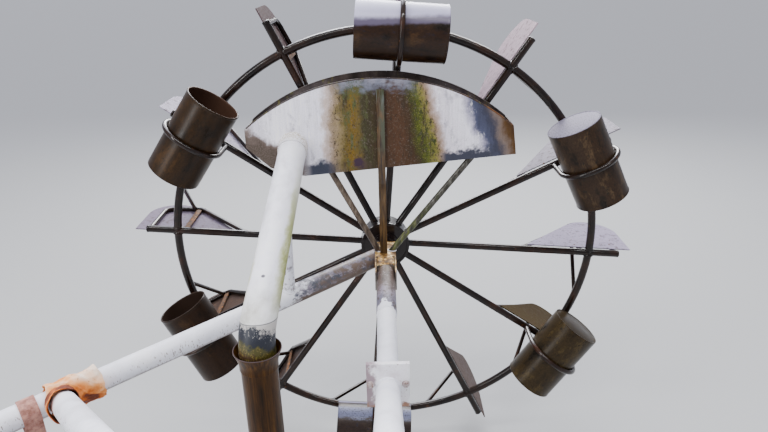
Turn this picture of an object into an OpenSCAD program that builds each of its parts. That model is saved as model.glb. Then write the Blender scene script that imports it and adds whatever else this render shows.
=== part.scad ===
// River-driven water-lifting wheel on a tubular bank frame, with a catch trough,
// a sloping drain pipe and a standpipe.
// Units: mm. +X to the right as seen from the bank, +Y away from the bank over the river,
// +Z up. Origin: where the inclined beam meets the back face of the bank plate.

/* [Wheel] */
// radius of the rim tube's centreline
rim_r = 1000; // [950:10:1050]
// diameter of the rim tube
rim_tube_d = 38; // [34:1:40]
// diameter of the spoke tubes
spoke_d = 33.7; // [32:0.1:35]
// radius of the spokes' outer tips
tip_r = 1145; // [1130:5:1180]
// pairs of spokes, each one plain and one with a bucket
spoke_pairs = 6; // [6]
// turn of the wheel at rest, clockwise as seen from the bank, in degrees
wheel_turn = 4.8; // [0:0.1:10]
// hub drum diameter
hub_d = 230; // [220:5:240]
// hub drum width along the axle
hub_w = 90; // [80:5:96]
// fixed axle diameter
axle_d = 60; // [50:1:65]

/* [Buckets] */
// outer diameter of a bucket
bucket_d = 236; // [220:2:240]
// length of a bucket along its axis
bucket_len = 378; // [360:2:400]
// sheet thickness of a bucket's wall and bottom
bucket_wall = 4; // [3:0.5:5]
// diameter of the round rod of the bails, frames and braces
rod_d = 22; // [18:1:24]

/* [Paddles] */
// radius at which a paddle's chord starts
paddle_in_r = 700; // [660:10:760]
// radius of a paddle's outer edge
paddle_out_r = 1212; // [1200:2:1240]
// reach of a paddle behind the wheel's plane
paddle_depth = 355; // [330:5:380]
// radius of a paddle's rounded outer corner
paddle_corner_r = 135; // [110:5:150]
// sheet thickness of a paddle
paddle_t = 5; // [4:0.5:6]
// distance of a paddle's front edge behind the wheel's plane
paddle_gap = 22; // [18:1:30]
// angle from a spoke forward to where its paddle's brace meets the rim, in degrees
brace_lead = 13.8; // [12:0.1:17]

/* [Bank frame] */
// distance of the wheel's plane from the bank plate's back face
hub_reach = 1950; // [1850:10:2050]
// height of the bank plate above the hub's axis
hub_drop = 380; // [340:10:420]
// distance from the wheel's plane to the bolted joint between the two beams
joint_reach = 1112; // [1050:2:1150]
// diameter of the inclined beam and of the horizontal beam's outer length
beam_d = 76.1; // [70:0.1:80]
// diameter of the sleeve at the wheel's end of the horizontal beam
sleeve_d = 80; // [78:1:82]
// diameter of the side brace and the stay
brace_d = 82; // [76:1:86]

/* [Trough] */
// width of the trough between the outer faces of its walls
trough_w = 177; // [160:1:180]
// distance of the trough's front face from the wheel's plane
trough_front_y = 225; // [220:1:240]
// radius of the walls' curved top edge
trough_top_r = 868; // [860:1:870]
// sheet thickness of the trough
trough_t = 4; // [3:0.5:5]

/* [Outlet and standpipe] */
// outer diameter of the plastic outlet pipe
outlet_d = 114; // [110:1:116]
// wall of the outlet pipe
outlet_wall = 5; // [4:0.5:6]
// distance of the standpipe's axis from the wheel's plane
stand_y = 1150; // [1130:5:1170]
// outer diameter of the standpipe
stand_d = 115; // [108:1:118]
// outer diameter of the funnel's mouth
funnel_d = 151; // [148:1:160]

/* [Hidden] */
$fn = 64;
seat = 0.3;              // gap where a curved piece rests on another
run_fit = 0.05;          // radial running clearance of the hub on its axle
cut = 400;               // size of the blocks that cut a tube's end
cut_far = 2000;
weld_t = 0.6;
weld_w = 5;
weld_root = 0.5;         // gap that a weld ring bridges inside

spoke_r = spoke_d / 2;
rim_tube_r = rim_tube_d / 2;
rod_r = rod_d / 2;
bucket_r = bucket_d / 2;
spokes_n = 2 * spoke_pairs;
spoke_step = 360 / spokes_n;
bucket_step = 2 * spoke_step;
rim_gap_a = asin((spoke_r + seat) / (rim_r - rim_tube_r));
bucket_off = rim_tube_r + bucket_r + seat;
bail_r = bucket_r + rod_r + seat;
bail_back_a = asin((bucket_off - spoke_r - rod_r - seat) / bail_r);

frame_z = -(spoke_r + seat);
frame_path = [
    [tip_r - rod_r - 1, frame_z],
    [tip_r - rod_r - 1, -262],
    [958, -283],
    [672, frame_z + 8]
];
frame_bend_r = 48;
frame_along = (frame_path[2] - frame_path[1]) / norm(frame_path[2] - frame_path[1]);
frame_bend_a = abs(turn_between(frame_path[1], frame_path[2], frame_path[3]));
frame_bend_c = frame_path[2] - frame_bend_r * tan(frame_bend_a / 2) * frame_along
    + frame_bend_r * [frame_along[1], -frame_along[0]];
rib_w = 25;
rib_t = 6;
rib_x = frame_path[2][0] - 3;
brace_x = 992;
brace_rod_d = 20;
brace_foot_z = frame_path[2][1]
    + (brace_x - frame_path[2][0]) * frame_along[1] / frame_along[0];

corner_c = [paddle_out_r - paddle_corner_r, -(paddle_depth - paddle_corner_r)];
paddle_edge_z = -paddle_gap;
corner_dist = norm([corner_c[0] - paddle_in_r, corner_c[1] - paddle_edge_z]);
corner_lean = atan2(-(corner_c[1] - paddle_edge_z), corner_c[0] - paddle_in_r)
    + asin(paddle_corner_r / corner_dist);
corner_tangent = [
    paddle_in_r + sqrt(pow(corner_dist, 2) - pow(paddle_corner_r, 2)) * cos(corner_lean),
    paddle_edge_z - sqrt(pow(corner_dist, 2) - pow(paddle_corner_r, 2)) * sin(corner_lean)
];

boss_d = 130;
boss_t = 12;
cap_d = 96;
cap_t = 10;
cap_gap = 6;

plate_t = 12;
plate_left = -530;
plate_right = 100;
plate_half_h = 100;
plate_hole_d = 18;
plate_hole_left = -490;
plate_hole_right = 60;
plate_hole_z = 70;

joint_t = 8;
joint_w = 140;
joint_low = -90;
joint_high = 75;
joint_hole_x = 57;
joint_hole_d = 13;
beam_drop = 20;          // the inclined beam starts this far below the hub's axis
far_beam_d = 73;
sleeve_start = 330;
sleeve_end = 690;

bracket_start = 105;
bracket_end = 420;
bracket_low = -40;
bracket_high = 45;
bracket_t = 6;
bracket_gap = sleeve_d / 2 + seat;
bracket_top_end = 262;

brace_start = [-bracket_gap - bracket_t, -186, 1];
brace_dir = [-954, -779, -71];
brace_len_k = 1.44;
brace_end = brace_start + brace_len_k * brace_dir;
stay_k = 1.114;
stay_start = brace_start + stay_k * brace_dir;
stay_end = [-431, -hub_reach, hub_drop];
flange_t = 10;
flange_w = 150;
flange_hole_off = 56;
flange_hole_d = 14;
lash_len = 180;
lash_k = 1.075;
lash_t = 4;
strap_k = 1.19;
strap_w = 55;
strap_t = 6;
strap_step = 0.6;        // the legs' faces lie this far inside the ring's
strap_leg = 300;

trough_back_y = trough_front_y - trough_w;
trough_c = [-20, -40];
trough_pts = [
    [548, 619], [564, 493.5], [-337, 417], [-480, 456.5], [-577, 547], [-577, 624]
];
trough_peak = 900;
post_w = 32;
post_x = -7;
post_t = 8;
post_top = 782;
strut_d = 27;
strut_y = 200;
strut_left_top = [-226, 426];
strut_right_top = [378, 477];
strut_foot = 30;
floor_lean = atan2(trough_pts[1][1] - trough_pts[2][1], trough_pts[1][0] - trough_pts[2][0]);

outlet_start = [-378, -trough_front_y, 546];
stand_x = -401;
outlet_corner = [stand_x, -stand_y, 214];
outlet_vec = outlet_corner - outlet_start;
outlet_flat = norm([outlet_vec[0], outlet_vec[1]]);
outlet_fall = atan2(-outlet_vec[2], outlet_flat);
elbow_a = 90 - outlet_fall;
elbow_r = 84;
elbow_t = elbow_r * tan(elbow_a / 2);
outlet_len = norm(outlet_vec) - elbow_t;
outlet_turn = atan2(outlet_vec[1], outlet_vec[0]);
spigot_len = 38;
prop_k = 0.38;
prop_d = 60.3;
prop_lean = 8;
collar_len = 34;
collar_t = 5;
funnel_top = 167;
funnel_h = 67;
funnel_wall = 3;
funnel_lip = 4;
bell_d = 121;
bell_h = 44;
stand_wall = 5;
stand_bottom = -1240;

// The hub's centre becomes the local origin.
module at_hub() {
    translate([0, hub_reach, -hub_drop]) children();
}

// The wheel's plane becomes the local XY plane, with +Z towards the bank.
module in_wheel() {
    at_hub() rotate([90, 0, 0]) children();
}

// Spoke number k lies along local +X, the direction of travel along -Y.
module at_spoke(k) {
    in_wheel() rotate([0, 0, 90 - spoke_step * k - wheel_turn]) children();
}

// A straight round bar from point a to point b.
module bar(a, b, d) {
    v = b - a;
    translate(a) rotate([0, acos(v[2] / norm(v)), atan2(v[1], v[0])])
        cylinder(d = d, h = norm(v));
}

function turn_between(a, b, c) =
    let (u = b - a, w = c - b) atan2(u[0] * w[1] - u[1] * w[0], u[0] * w[0] + u[1] * w[1]);

// A round rod in the local XY plane: straight runs joined by arcs of radius r, with a narrow
// weld ring where each run meets its arc.
module bent_rod(p, r, d) {
    $fn = 20;
    for (i = [0 : len(p) - 2]) {
        u = (p[i + 1] - p[i]) / norm(p[i + 1] - p[i]);
        first = i == 0;
        last = i == len(p) - 2;
        a = first ? p[i] : p[i] + r * tan(abs(turn_between(p[i - 1], p[i], p[i + 1])) / 2) * u;
        b = last ? p[i + 1]
            : p[i + 1] - r * tan(abs(turn_between(p[i], p[i + 1], p[i + 2])) / 2) * u;
        a_end = a + (first ? 0 : weld_root) * u;
        b_end = b - (last ? 0 : weld_root) * u;
        bar([a_end[0], a_end[1], 0], [b_end[0], b_end[1], 0], d);
        if (!first) weld_ring(a, u, d);
        if (!last) {
            weld_ring(b, u, d);
            bend = turn_between(p[i], p[i + 1], p[i + 2]);
            c = b + sign(bend) * r * [-u[1], u[0]];
            trim = atan(weld_root / r);
            translate([c[0], c[1], 0])
                rotate([0, 0, atan2(u[1], u[0]) - sign(bend) * 90 + min(bend, 0) + trim])
                    rotate_extrude(angle = abs(bend) - 2 * trim) translate([r, 0])
                        circle(d = d);
        }
    }
}

// A ring of weld round a rod at point p of the local XY plane, for a rod that runs along u.
module weld_ring(p, u, d) {
    translate([p[0], p[1], 0]) rotate([0, 0, atan2(u[1], u[0])]) rotate([0, 90, 0])
        cylinder(d = d + 2 * weld_t, h = weld_w, center = true);
}

module bank_plate() {
    color("#8d8f8c") difference() {
        translate([plate_left, 0, -plate_half_h])
            cube([plate_right - plate_left, plate_t, 2 * plate_half_h]);
        for (x = [plate_hole_left, plate_hole_right], z = [-plate_hole_z, plate_hole_z])
            translate([x, -1, z]) rotate([-90, 0, 0]) cylinder(d = plate_hole_d, h = plate_t + 2);
    }
}

module near_beam() {
    start = [0, hub_reach - joint_reach - joint_t, -hub_drop - beam_drop];
    lean = start / norm(start);
    color("#dfe0e2") difference() {
        bar(-beam_d * lean, start + beam_d * lean, beam_d);
        translate([-cut / 2, plate_t - cut, -cut / 2]) cube(cut);
        translate([-cut / 2, start[1], start[2] - cut / 2]) cube(cut);
    }
}

module joint_plates() {
    color("#c9c6c4") at_hub() for (k = [0, 1]) difference() {
        translate([-joint_w / 2, -joint_reach - k * joint_t, joint_low])
            cube([joint_w, joint_t - k * seat, joint_high - joint_low]);
        for (x = [-joint_hole_x, joint_hole_x])
            translate([x, -joint_reach - k * joint_t - 1, 0]) rotate([-90, 0, 0])
                cylinder(d = joint_hole_d, h = joint_t + 2);
    }
}

module far_beam() {
    color("#e6e7ea") in_wheel() translate([0, 0, sleeve_end])
        cylinder(d = far_beam_d, h = joint_reach - joint_t - sleeve_end);
}

module beam_sleeve() {
    color("#77705f") in_wheel() translate([0, 0, sleeve_start])
        cylinder(d = sleeve_d, h = sleeve_end - sleeve_start);
}

module head_bracket() {
    color("#9a958a") at_hub() {
        for (s = [0, 1]) mirror([s, 0, 0])
            translate([bracket_gap, -bracket_end, bracket_low])
                cube([bracket_t, bracket_end - bracket_start, bracket_high - bracket_low]);
        translate([-bracket_gap - 1, -bracket_start - bracket_t, bracket_low])
            cube([2 * bracket_gap + 2, bracket_t, bracket_high - bracket_low]);
        translate([-bracket_gap - 1, -bracket_top_end, bracket_high - bracket_t])
            cube([2 * bracket_gap + 2, bracket_top_end - bracket_start, bracket_t]);
    }
}

module axle() {
    color("#6d6a66") in_wheel() translate([0, 0, -hub_w / 2 - cap_gap])
        cylinder(d = axle_d, h = bracket_start + hub_w / 2 + cap_gap);
}

module axle_cap() {
    color("#54504c") in_wheel() translate([0, 0, -hub_w / 2 - cap_gap - cap_t])
        cylinder(d = cap_d, h = cap_t);
}

// The side brace's cylinder, thickened by extra all round.
module brace_bar(extra = 0) {
    bar(brace_start - 0.1 * brace_dir, brace_end, brace_d + 2 * extra);
}

module side_brace() {
    color("#d9dbdd") at_hub() difference() {
        brace_bar();
        translate([brace_start[0], brace_start[1] - cut / 2, brace_start[2] - cut / 2]) cube(cut);
    }
}

module brace_flange() {
    u = brace_dir / norm(brace_dir);
    color("#b5b0a9") at_hub() translate(brace_end + seat * u)
        rotate([0, acos(u[2]), atan2(u[1], u[0])]) difference() {
            translate([-flange_w / 2, -flange_w / 2, 0]) cube([flange_w, flange_w, flange_t]);
            for (x = [-flange_hole_off, flange_hole_off], y = [-flange_hole_off, flange_hole_off])
                translate([x, y, -1]) cylinder(d = flange_hole_d, h = flange_t + 2);
        }
}

// The stay's cylinder from the brace's axis to beyond the bank plate, thickened by extra.
module stay_bar(extra = 0) {
    lean = (stay_end - stay_start) / norm(stay_end - stay_start);
    bar(stay_start, stay_end + brace_d * lean, brace_d + 2 * extra);
}

module stay_pipe() {
    color("#dcdee0") difference() {
        at_hub() difference() {
            stay_bar();
            brace_bar(lash_t + 2 * seat);
        }
        translate([stay_end[0] - cut / 2, plate_t - cut, -cut / 2]) cube(cut);
    }
}

module lashing_sheet() {
    u = brace_dir / norm(brace_dir);
    at = brace_start + lash_k * brace_dir;
    color("#b4623a") at_hub() difference() {
        bar(at - lash_len / 2 * u, at + lash_len / 2 * u, brace_d + 2 * (seat + lash_t));
        bar(at - lash_len * u, at + lash_len * u, brace_d + 2 * seat);
    }
}

module hanging_strap() {
    u = brace_dir / norm(brace_dir);
    at = brace_start + strap_k * brace_dir;
    in_r = brace_d / 2 + seat;
    color("#7d4a35") at_hub() difference() {
        union() {
            bar(at - strap_w / 2 * u, at + strap_w / 2 * u, 2 * (in_r + strap_t));
            along_strap() for (s = [0, 1]) mirror([s, 0, 0])
                translate([in_r + strap_step, -strap_w / 2, -strap_leg])
                    cube([strap_t - 2 * strap_step, strap_w, strap_leg]);
        }
        brace_bar(seat);
        along_strap() translate([strap_step - in_r, -strap_w, -strap_leg - 1])
            cube([2 * (in_r - strap_step), 2 * strap_w, strap_leg + 1]);
    }
}

// The strap's place on the brace's axis, with local +Y along the brace and +Z up.
module along_strap() {
    translate(brace_start + strap_k * brace_dir)
        rotate([0, 0, atan2(brace_dir[1], brace_dir[0]) + 90]) children();
}

// A wall of the trough, in the plane y and thickness t towards the river.
module trough_wall() {
    intersection() {
        polygon(concat(trough_pts, [
            [trough_pts[len(trough_pts) - 1][0], trough_peak], [trough_pts[0][0], trough_peak]
        ]));
        translate(trough_c) circle(r = trough_top_r, $fn = 180);
    }
}

module trough_sheet(y) {
    translate([0, -y + trough_t, 0]) rotate([90, 0, 0]) linear_extrude(trough_t) trough_wall();
}

module trough_front() {
    color("#b9b3a8") at_hub() difference() {
        trough_sheet(trough_front_y);
        outlet_bore();
    }
}

module trough_back() {
    color("#57534f") at_hub() trough_sheet(trough_back_y + trough_t);
}

module trough_floor() {
    color("#6a645c") at_hub() for (i = [0 : len(trough_pts) - 2]) {
        a = trough_pts[i];
        b = trough_pts[i + 1];
        translate([a[0], -trough_back_y - trough_t, a[1]])
            rotate([90, 0, 0]) rotate([0, 0, atan2(b[1] - a[1], b[0] - a[0])])
                translate([0, -trough_t, 0])
                    cube([norm(b - a), trough_t, trough_w - 2 * trough_t]);
    }
}

module trough_post() {
    color("#6b4f35") at_hub() translate([post_x - post_w / 2, -trough_front_y - post_t, bracket_high])
        cube([post_w, post_t, post_top - bracket_high]);
}

// A strut from the bracket's top plate up to the trough's floor.
module strut(top, foot_x) {
    a = [foot_x, -strut_y, bracket_high];
    b = [top[0], -strut_y, top[1]];
    u = (b - a) / norm(b - a);
    at_hub() difference() {
        bar(a - strut_d * u, b + strut_d * u, strut_d);
        translate([foot_x - cut / 2, -strut_y - cut / 2, bracket_high - cut]) cube(cut);
        translate([trough_pts[2][0], -strut_y - cut / 2, trough_pts[2][1]])
            rotate([0, -floor_lean, 0]) cube([cut_far, cut, cut]);
    }
}

module struts() {
    color("#8b8375") {
        strut(strut_left_top, -strut_foot);
        strut(strut_right_top, strut_foot);
    }
}

// The outlet pipe's axis becomes local +Z, starting at the trough's front face.
module on_outlet() {
    translate(outlet_start) rotate([0, 90 + outlet_fall, outlet_turn]) children();
}

module outlet_bore() {
    on_outlet() translate([0, 0, -cut / 2])
        cylinder(d = outlet_d - 2 * outlet_wall, h = cut);
}

module outlet_collar() {
    color("#c8c9c6") at_hub() difference() {
        on_outlet() difference() {
            translate([0, 0, -outlet_d]) cylinder(d = outlet_d + 2 * (collar_t + seat),
                h = outlet_d + collar_len);
            translate([0, 0, -2 * outlet_d]) cylinder(d = outlet_d + 2 * seat,
                h = 3 * outlet_d + collar_len);
        }
        translate([outlet_start[0] - cut / 2, -trough_front_y, outlet_start[2] - cut / 2])
            cube(cut);
    }
}

module outlet_pipe() {
    color("#d8dadb") at_hub() difference() {
        on_outlet() translate([0, 0, -outlet_d]) cylinder(d = outlet_d, h = outlet_d + outlet_len);
        on_outlet() translate([0, 0, -2 * outlet_d])
            cylinder(d = outlet_d - 2 * outlet_wall, h = 3 * outlet_d + outlet_len);
        translate([outlet_start[0] - cut / 2, -trough_front_y, outlet_start[2] - cut / 2])
            cube(cut);
    }
}

// The elbow turns down and ends in a straight spigot that sits in the standpipe's bell.
module outlet_elbow() {
    color("#7c7f79") at_hub() on_outlet() translate([elbow_r, 0, outlet_len]) rotate([90, 0, 0]) {
        rotate([0, 0, 180])
            rotate_extrude(angle = atan(weld_root / elbow_r) - elbow_a)
                translate([elbow_r, 0]) difference() {
                    circle(d = outlet_d);
                    circle(d = outlet_d - 2 * outlet_wall);
                }
        rotate([0, 0, 180 - elbow_a]) translate([elbow_r, 0, 0]) rotate([90, 0, 0]) {
            translate([0, 0, weld_root]) difference() {
                cylinder(d = outlet_d, h = spigot_len);
                translate([0, 0, -1]) cylinder(d = outlet_d - 2 * outlet_wall, h = spigot_len + 2);
            }
            difference() {
                cylinder(d = outlet_d + 2 * weld_t, h = weld_w, center = true);
                cylinder(d = outlet_d - 2 * outlet_wall - 2 * weld_t, h = 2 * weld_w,
                    center = true);
            }
        }
    }
}

// The prop stands on the side brace and carries the outlet pipe, coped to both.
module pipe_prop() {
    foot = brace_start + prop_k * brace_dir;
    head_z = outlet_start[2] + (foot[1] - outlet_start[1]) * outlet_vec[2] / outlet_vec[1];
    color("#d5d5dc") at_hub() difference() {
        bar(foot, [foot[0] + prop_lean, foot[1], head_z], prop_d);
        brace_bar(seat);
        on_outlet() cylinder(d = outlet_d + 2 * seat, h = outlet_len);
    }
}

module standpipe_funnel() {
    in_r = bell_d / 2 - funnel_wall;
    mouth_r = funnel_d / 2 - funnel_wall;
    color("#6e4a2c") at_hub() translate([stand_x, -stand_y, funnel_top - funnel_h])
        rotate_extrude() polygon([
            [stand_d / 2 - stand_wall, 0], [bell_d / 2, 0], [bell_d / 2, bell_h],
            [funnel_d / 2, funnel_h - funnel_lip], [funnel_d / 2, funnel_h],
            [mouth_r, funnel_h], [mouth_r, funnel_h - funnel_lip],
            [in_r, bell_h], [in_r, stand_wall], [stand_d / 2 - stand_wall, stand_wall]
        ]);
}

module standpipe() {
    h = funnel_top - funnel_h - stand_bottom;
    color("#5c3b22") at_hub() translate([stand_x, -stand_y, stand_bottom]) difference() {
        cylinder(d = stand_d, h = h);
        translate([0, 0, -1]) cylinder(d = stand_d - 2 * stand_wall, h = h + 2);
    }
}

module hub_drum() {
    color("#2b2420") in_wheel() difference() {
        translate([0, 0, -hub_w / 2]) cylinder(d = hub_d, h = hub_w);
        translate([0, 0, -hub_w]) cylinder(r = axle_d / 2 + run_fit, h = 2 * hub_w);
    }
}

module hub_boss() {
    color("#3a322c") in_wheel() translate([0, 0, hub_w / 2]) difference() {
        cylinder(d = boss_d, h = boss_t);
        translate([0, 0, -1]) cylinder(r = axle_d / 2 + run_fit, h = boss_t + 2);
    }
}

module spokes() {
    color("#241d19") for (k = [0 : spokes_n - 1]) at_spoke(k)
        bar([hub_d / 2 + seat, 0, 0], [tip_r, 0, 0], spoke_d);
}

module rim() {
    color("#2a211c") for (k = [0 : spokes_n - 1]) at_spoke(k) rotate([0, 0, rim_gap_a])
        rotate_extrude(angle = spoke_step - 2 * rim_gap_a, $fn = 180)
            translate([rim_r, 0]) circle(r = rim_tube_r, $fn = 32);
}

// Bucket number n lies along local +Z from its trailing end, on the rim's bank side.
module at_bucket(n) {
    at_spoke(2 * (n - 1)) translate([rim_r, bucket_len / 2, bucket_off]) rotate([90, 0, 0])
        children();
}

module bucket(n) {
    color("#3b2a1b") at_bucket(n) difference() {
        cylinder(r = bucket_r, h = bucket_len);
        translate([0, 0, -1]) cylinder(r = bucket_r - bucket_wall, h = bucket_len + 2);
    }
}

module bucket_1() { bucket(1); }
module bucket_2() { bucket(2); }
module bucket_3() { bucket(3); }
module bucket_4() { bucket(4); }
module bucket_5() { bucket(5); }
module bucket_6() { bucket(6); }

// The round bottoms, each set into its bucket's trailing end.
module bucket_bottoms() {
    color("#4a4238") for (n = [1 : spoke_pairs]) at_bucket(n)
        cylinder(r = bucket_r - bucket_wall - seat, h = bucket_wall);
}

// The rod round bucket number n: a straight leg from the spoke, then round the bucket.
module bail(n) {
    color("#4a3a2c") at_spoke(2 * (n - 1)) translate([rim_r, 0, bucket_off]) rotate([90, 0, 0]) {
        rotate([0, 0, 180]) rotate_extrude(angle = -180 - bail_back_a) translate([bail_r, 0])
            circle(r = rod_r, $fn = 24);
        translate([-bail_r, 0, 0]) rotate([90, 0, 0])
            cylinder(r = rod_r, h = bucket_off - spoke_r - seat, $fn = 24);
    }
}

module bail_1() { bail(1); }
module bail_2() { bail(2); }
module bail_3() { bail(3); }
module bail_4() { bail(4); }
module bail_5() { bail(5); }
module bail_6() { bail(6); }

// One spoon-shaped plate in the plane of the axle and spoke, on the trailing side.
module paddle_outline() {
    polygon([
        [paddle_in_r, paddle_edge_z], corner_tangent, corner_c,
        [paddle_out_r, corner_c[1]], [paddle_out_r, paddle_edge_z]
    ]);
    translate(corner_c) circle(r = paddle_corner_r, $fn = 96);
}

module paddles() {
    color("#8f8a8c") for (k = [0 : spokes_n - 1]) at_spoke(k)
        translate([0, rod_r + weld_t + seat + paddle_t, 0]) rotate([90, 0, 0])
            linear_extrude(paddle_t) paddle_outline();
}

module paddle_frames() {
    color("#32271f") for (k = [0 : spokes_n - 1]) at_spoke(k) difference() {
        rotate([90, 0, 0]) bent_rod(frame_path, frame_bend_r, rod_d);
        translate([0, -cut / 2, frame_z]) cube([cut_far, cut, cut]);
    }
}

// A flat rib stands on the frame's inner bend, its foot curved to match, and meets the spoke.
module rib_outline() {
    translate([rib_x, frame_bend_c[1]]) square([rib_w, frame_z - frame_bend_c[1]]);
    intersection() {
        translate([rib_x, frame_bend_c[1] - frame_bend_r]) square([rib_w, frame_bend_r + 1]);
        translate(frame_bend_c) circle(r = frame_bend_r - rod_r - weld_t - seat);
    }
}

module paddle_ribs() {
    color("#7a4a22") for (k = [0 : spokes_n - 1]) at_spoke(k) translate([0, rib_t / 2, 0])
        rotate([90, 0, 0]) linear_extrude(rib_t) rib_outline();
}

// Each brace is coped to sit on the frame's rod and on the rim tube.
module paddle_braces() {
    foot = [frame_path[2][0], 0, frame_path[2][1]];
    color("#2c2420") difference() {
        for (k = [0 : spokes_n - 1]) at_spoke(k) difference() {
            bar([brace_x, 0, brace_foot_z], [rim_r * cos(brace_lead), -rim_r * sin(brace_lead), 0],
                brace_rod_d, $fn = 24);
            bar(foot - cut / 2 * [frame_along[0], 0, frame_along[1]], foot,
                rod_d + 2 * (weld_t + seat));
        }
        in_wheel() rotate_extrude($fn = 120) translate([rim_r, 0])
            circle(r = rim_tube_r + seat, $fn = 32);
    }
}

bank_plate();
near_beam();
joint_plates();
far_beam();
beam_sleeve();
head_bracket();
axle();
axle_cap();
side_brace();
brace_flange();
stay_pipe();
lashing_sheet();
hanging_strap();
trough_front();
trough_back();
trough_floor();
trough_post();
struts();
outlet_collar();
outlet_pipe();
outlet_elbow();
pipe_prop();
standpipe_funnel();
standpipe();
hub_drum();
hub_boss();
spokes();
rim();
bucket_1();
bucket_2();
bucket_3();
bucket_4();
bucket_5();
bucket_6();
bucket_bottoms();
bail_1();
bail_2();
bail_3();
bail_4();
bail_5();
bail_6();
paddles();
paddle_frames();
paddle_ribs();
paddle_braces();
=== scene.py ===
# %% [markdown]
# # A water-lifting wheel on its fixed frame
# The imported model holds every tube, sheet and bucket in metres. This lesson dresses it: first a
# camera and a soft studio, then the small things that a welder, a fitter and ten years of running
# water add to such a wheel, and last one material for each real surface.

import bpy
import math
import numpy as np
from mathutils import Matrix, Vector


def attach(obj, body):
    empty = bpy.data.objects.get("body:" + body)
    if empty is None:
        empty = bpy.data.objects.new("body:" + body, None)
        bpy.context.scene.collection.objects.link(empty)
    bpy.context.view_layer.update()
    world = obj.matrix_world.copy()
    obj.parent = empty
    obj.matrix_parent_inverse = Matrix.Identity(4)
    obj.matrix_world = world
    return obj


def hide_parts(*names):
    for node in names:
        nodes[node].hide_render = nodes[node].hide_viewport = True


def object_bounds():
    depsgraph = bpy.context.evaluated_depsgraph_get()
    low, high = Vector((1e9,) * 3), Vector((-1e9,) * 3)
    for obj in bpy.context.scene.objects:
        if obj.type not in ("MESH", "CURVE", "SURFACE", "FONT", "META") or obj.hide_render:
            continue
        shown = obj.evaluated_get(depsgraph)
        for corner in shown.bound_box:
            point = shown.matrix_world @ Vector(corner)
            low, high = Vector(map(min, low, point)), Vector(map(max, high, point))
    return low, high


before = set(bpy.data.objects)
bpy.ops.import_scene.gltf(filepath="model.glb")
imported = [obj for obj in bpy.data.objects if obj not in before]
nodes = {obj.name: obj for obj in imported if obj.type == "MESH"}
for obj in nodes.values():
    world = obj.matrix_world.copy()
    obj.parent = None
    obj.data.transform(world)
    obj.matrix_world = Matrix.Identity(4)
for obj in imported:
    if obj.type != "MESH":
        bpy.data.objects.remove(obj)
model_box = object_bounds()
print("nodes", len(nodes), "box", [tuple(round(c, 3) for c in p) for p in model_box])

# %% [markdown]
# ## The camera
# The wheel is seen from the front, from above its top, looking 22 degrees down. A camera is
# placed by hand or solved from known points; here the rim's circle and the twelve spokes gave
# the place, the tilt and the lens, so its numbers are written out and turned into a matrix.

# %% Place the camera
HUB = np.array([0.0, 1.95, -0.38])  # centre of the hub in the model
WHEEL_TURN = 4.8  # degrees clockwise at rest


def look_matrix(place, down, left, roll):
    """Camera matrix: start level along +Y, pitch down, yaw left, then roll, all in degrees."""
    p, y, r = (math.radians(v) for v in (down, -left, roll))
    forward = np.array([math.sin(y) * math.cos(p), math.cos(y) * math.cos(p), -math.sin(p)])
    side = np.array([math.cos(y), -math.sin(y), 0.0])
    up = np.cross(side, forward)
    side2 = side * math.cos(r) + up * math.sin(r)
    up2 = up * math.cos(r) - side * math.sin(r)
    m = np.eye(4)
    m[:3, 0], m[:3, 1], m[:3, 2], m[:3, 3] = side2, up2, -forward, place
    return Matrix(m.tolist())


lens = bpy.data.cameras.new("front_camera")
lens.lens, lens.sensor_width, lens.sensor_fit = 29.63, 36.0, "HORIZONTAL"
lens.clip_start, lens.clip_end = 0.01, 300.0
camera = bpy.data.objects.new("front_camera", lens)
eye = HUB + [0.003, -2.8085, 1.2647]
camera.matrix_world = look_matrix(eye, down=21.95, left=0.12, roll=-1.35)
bpy.context.scene.collection.objects.link(camera)
bpy.context.scene.camera = camera
print("camera at", [round(v, 3) for v in camera.matrix_world.translation])

# %% [markdown]
# ## Surfaces from formulas
# Every new piece is a grid of points over two parameters, written as whole arrays. A profile
# turned round an axis makes lips and rings, a circle carried along a line makes welds and hems.
# Pieces are drawn in millimetres round a simple origin and then placed by a frame of four
# columns, which keeps the same numbers as the model's own drawing.

# %% Grids, turned profiles and swept tubes


def grid_faces(nu, nv, close_u=True, close_v=True):
    """Four-sided faces over a grid of nu by nv points, wrapping where a side is closed."""
    us, vs = np.arange(nu if close_u else nu - 1), np.arange(nv if close_v else nv - 1)
    i, j = np.meshgrid(us, vs, indexing="ij")
    k, m = (i + 1) % nu, (j + 1) % nv
    return np.stack([i * nv + j, k * nv + j, k * nv + m, i * nv + m], -1).reshape(-1, 4)


def around(sides):
    """The angles of that many equal steps round a circle, in radians."""
    return np.linspace(0, 2 * math.pi, sides, endpoint=False)


def turned(profile, sides=64, closed=False):
    """A profile (radius, height) turned round Z: each point is (r cos a, r sin a, h).
    An open profile is shut at both ends with a flat many-sided face."""
    r, h = np.array(profile, float).T
    a = around(sides)[:, None]
    points = np.stack([r * np.cos(a), r * np.sin(a), h + 0 * a], -1).reshape(-1, 3)
    first = np.arange(sides) * len(r)
    caps = [] if closed else [first[::-1], first + len(r) - 1]
    return points, grid_faces(sides, len(r), True, closed), caps


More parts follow.
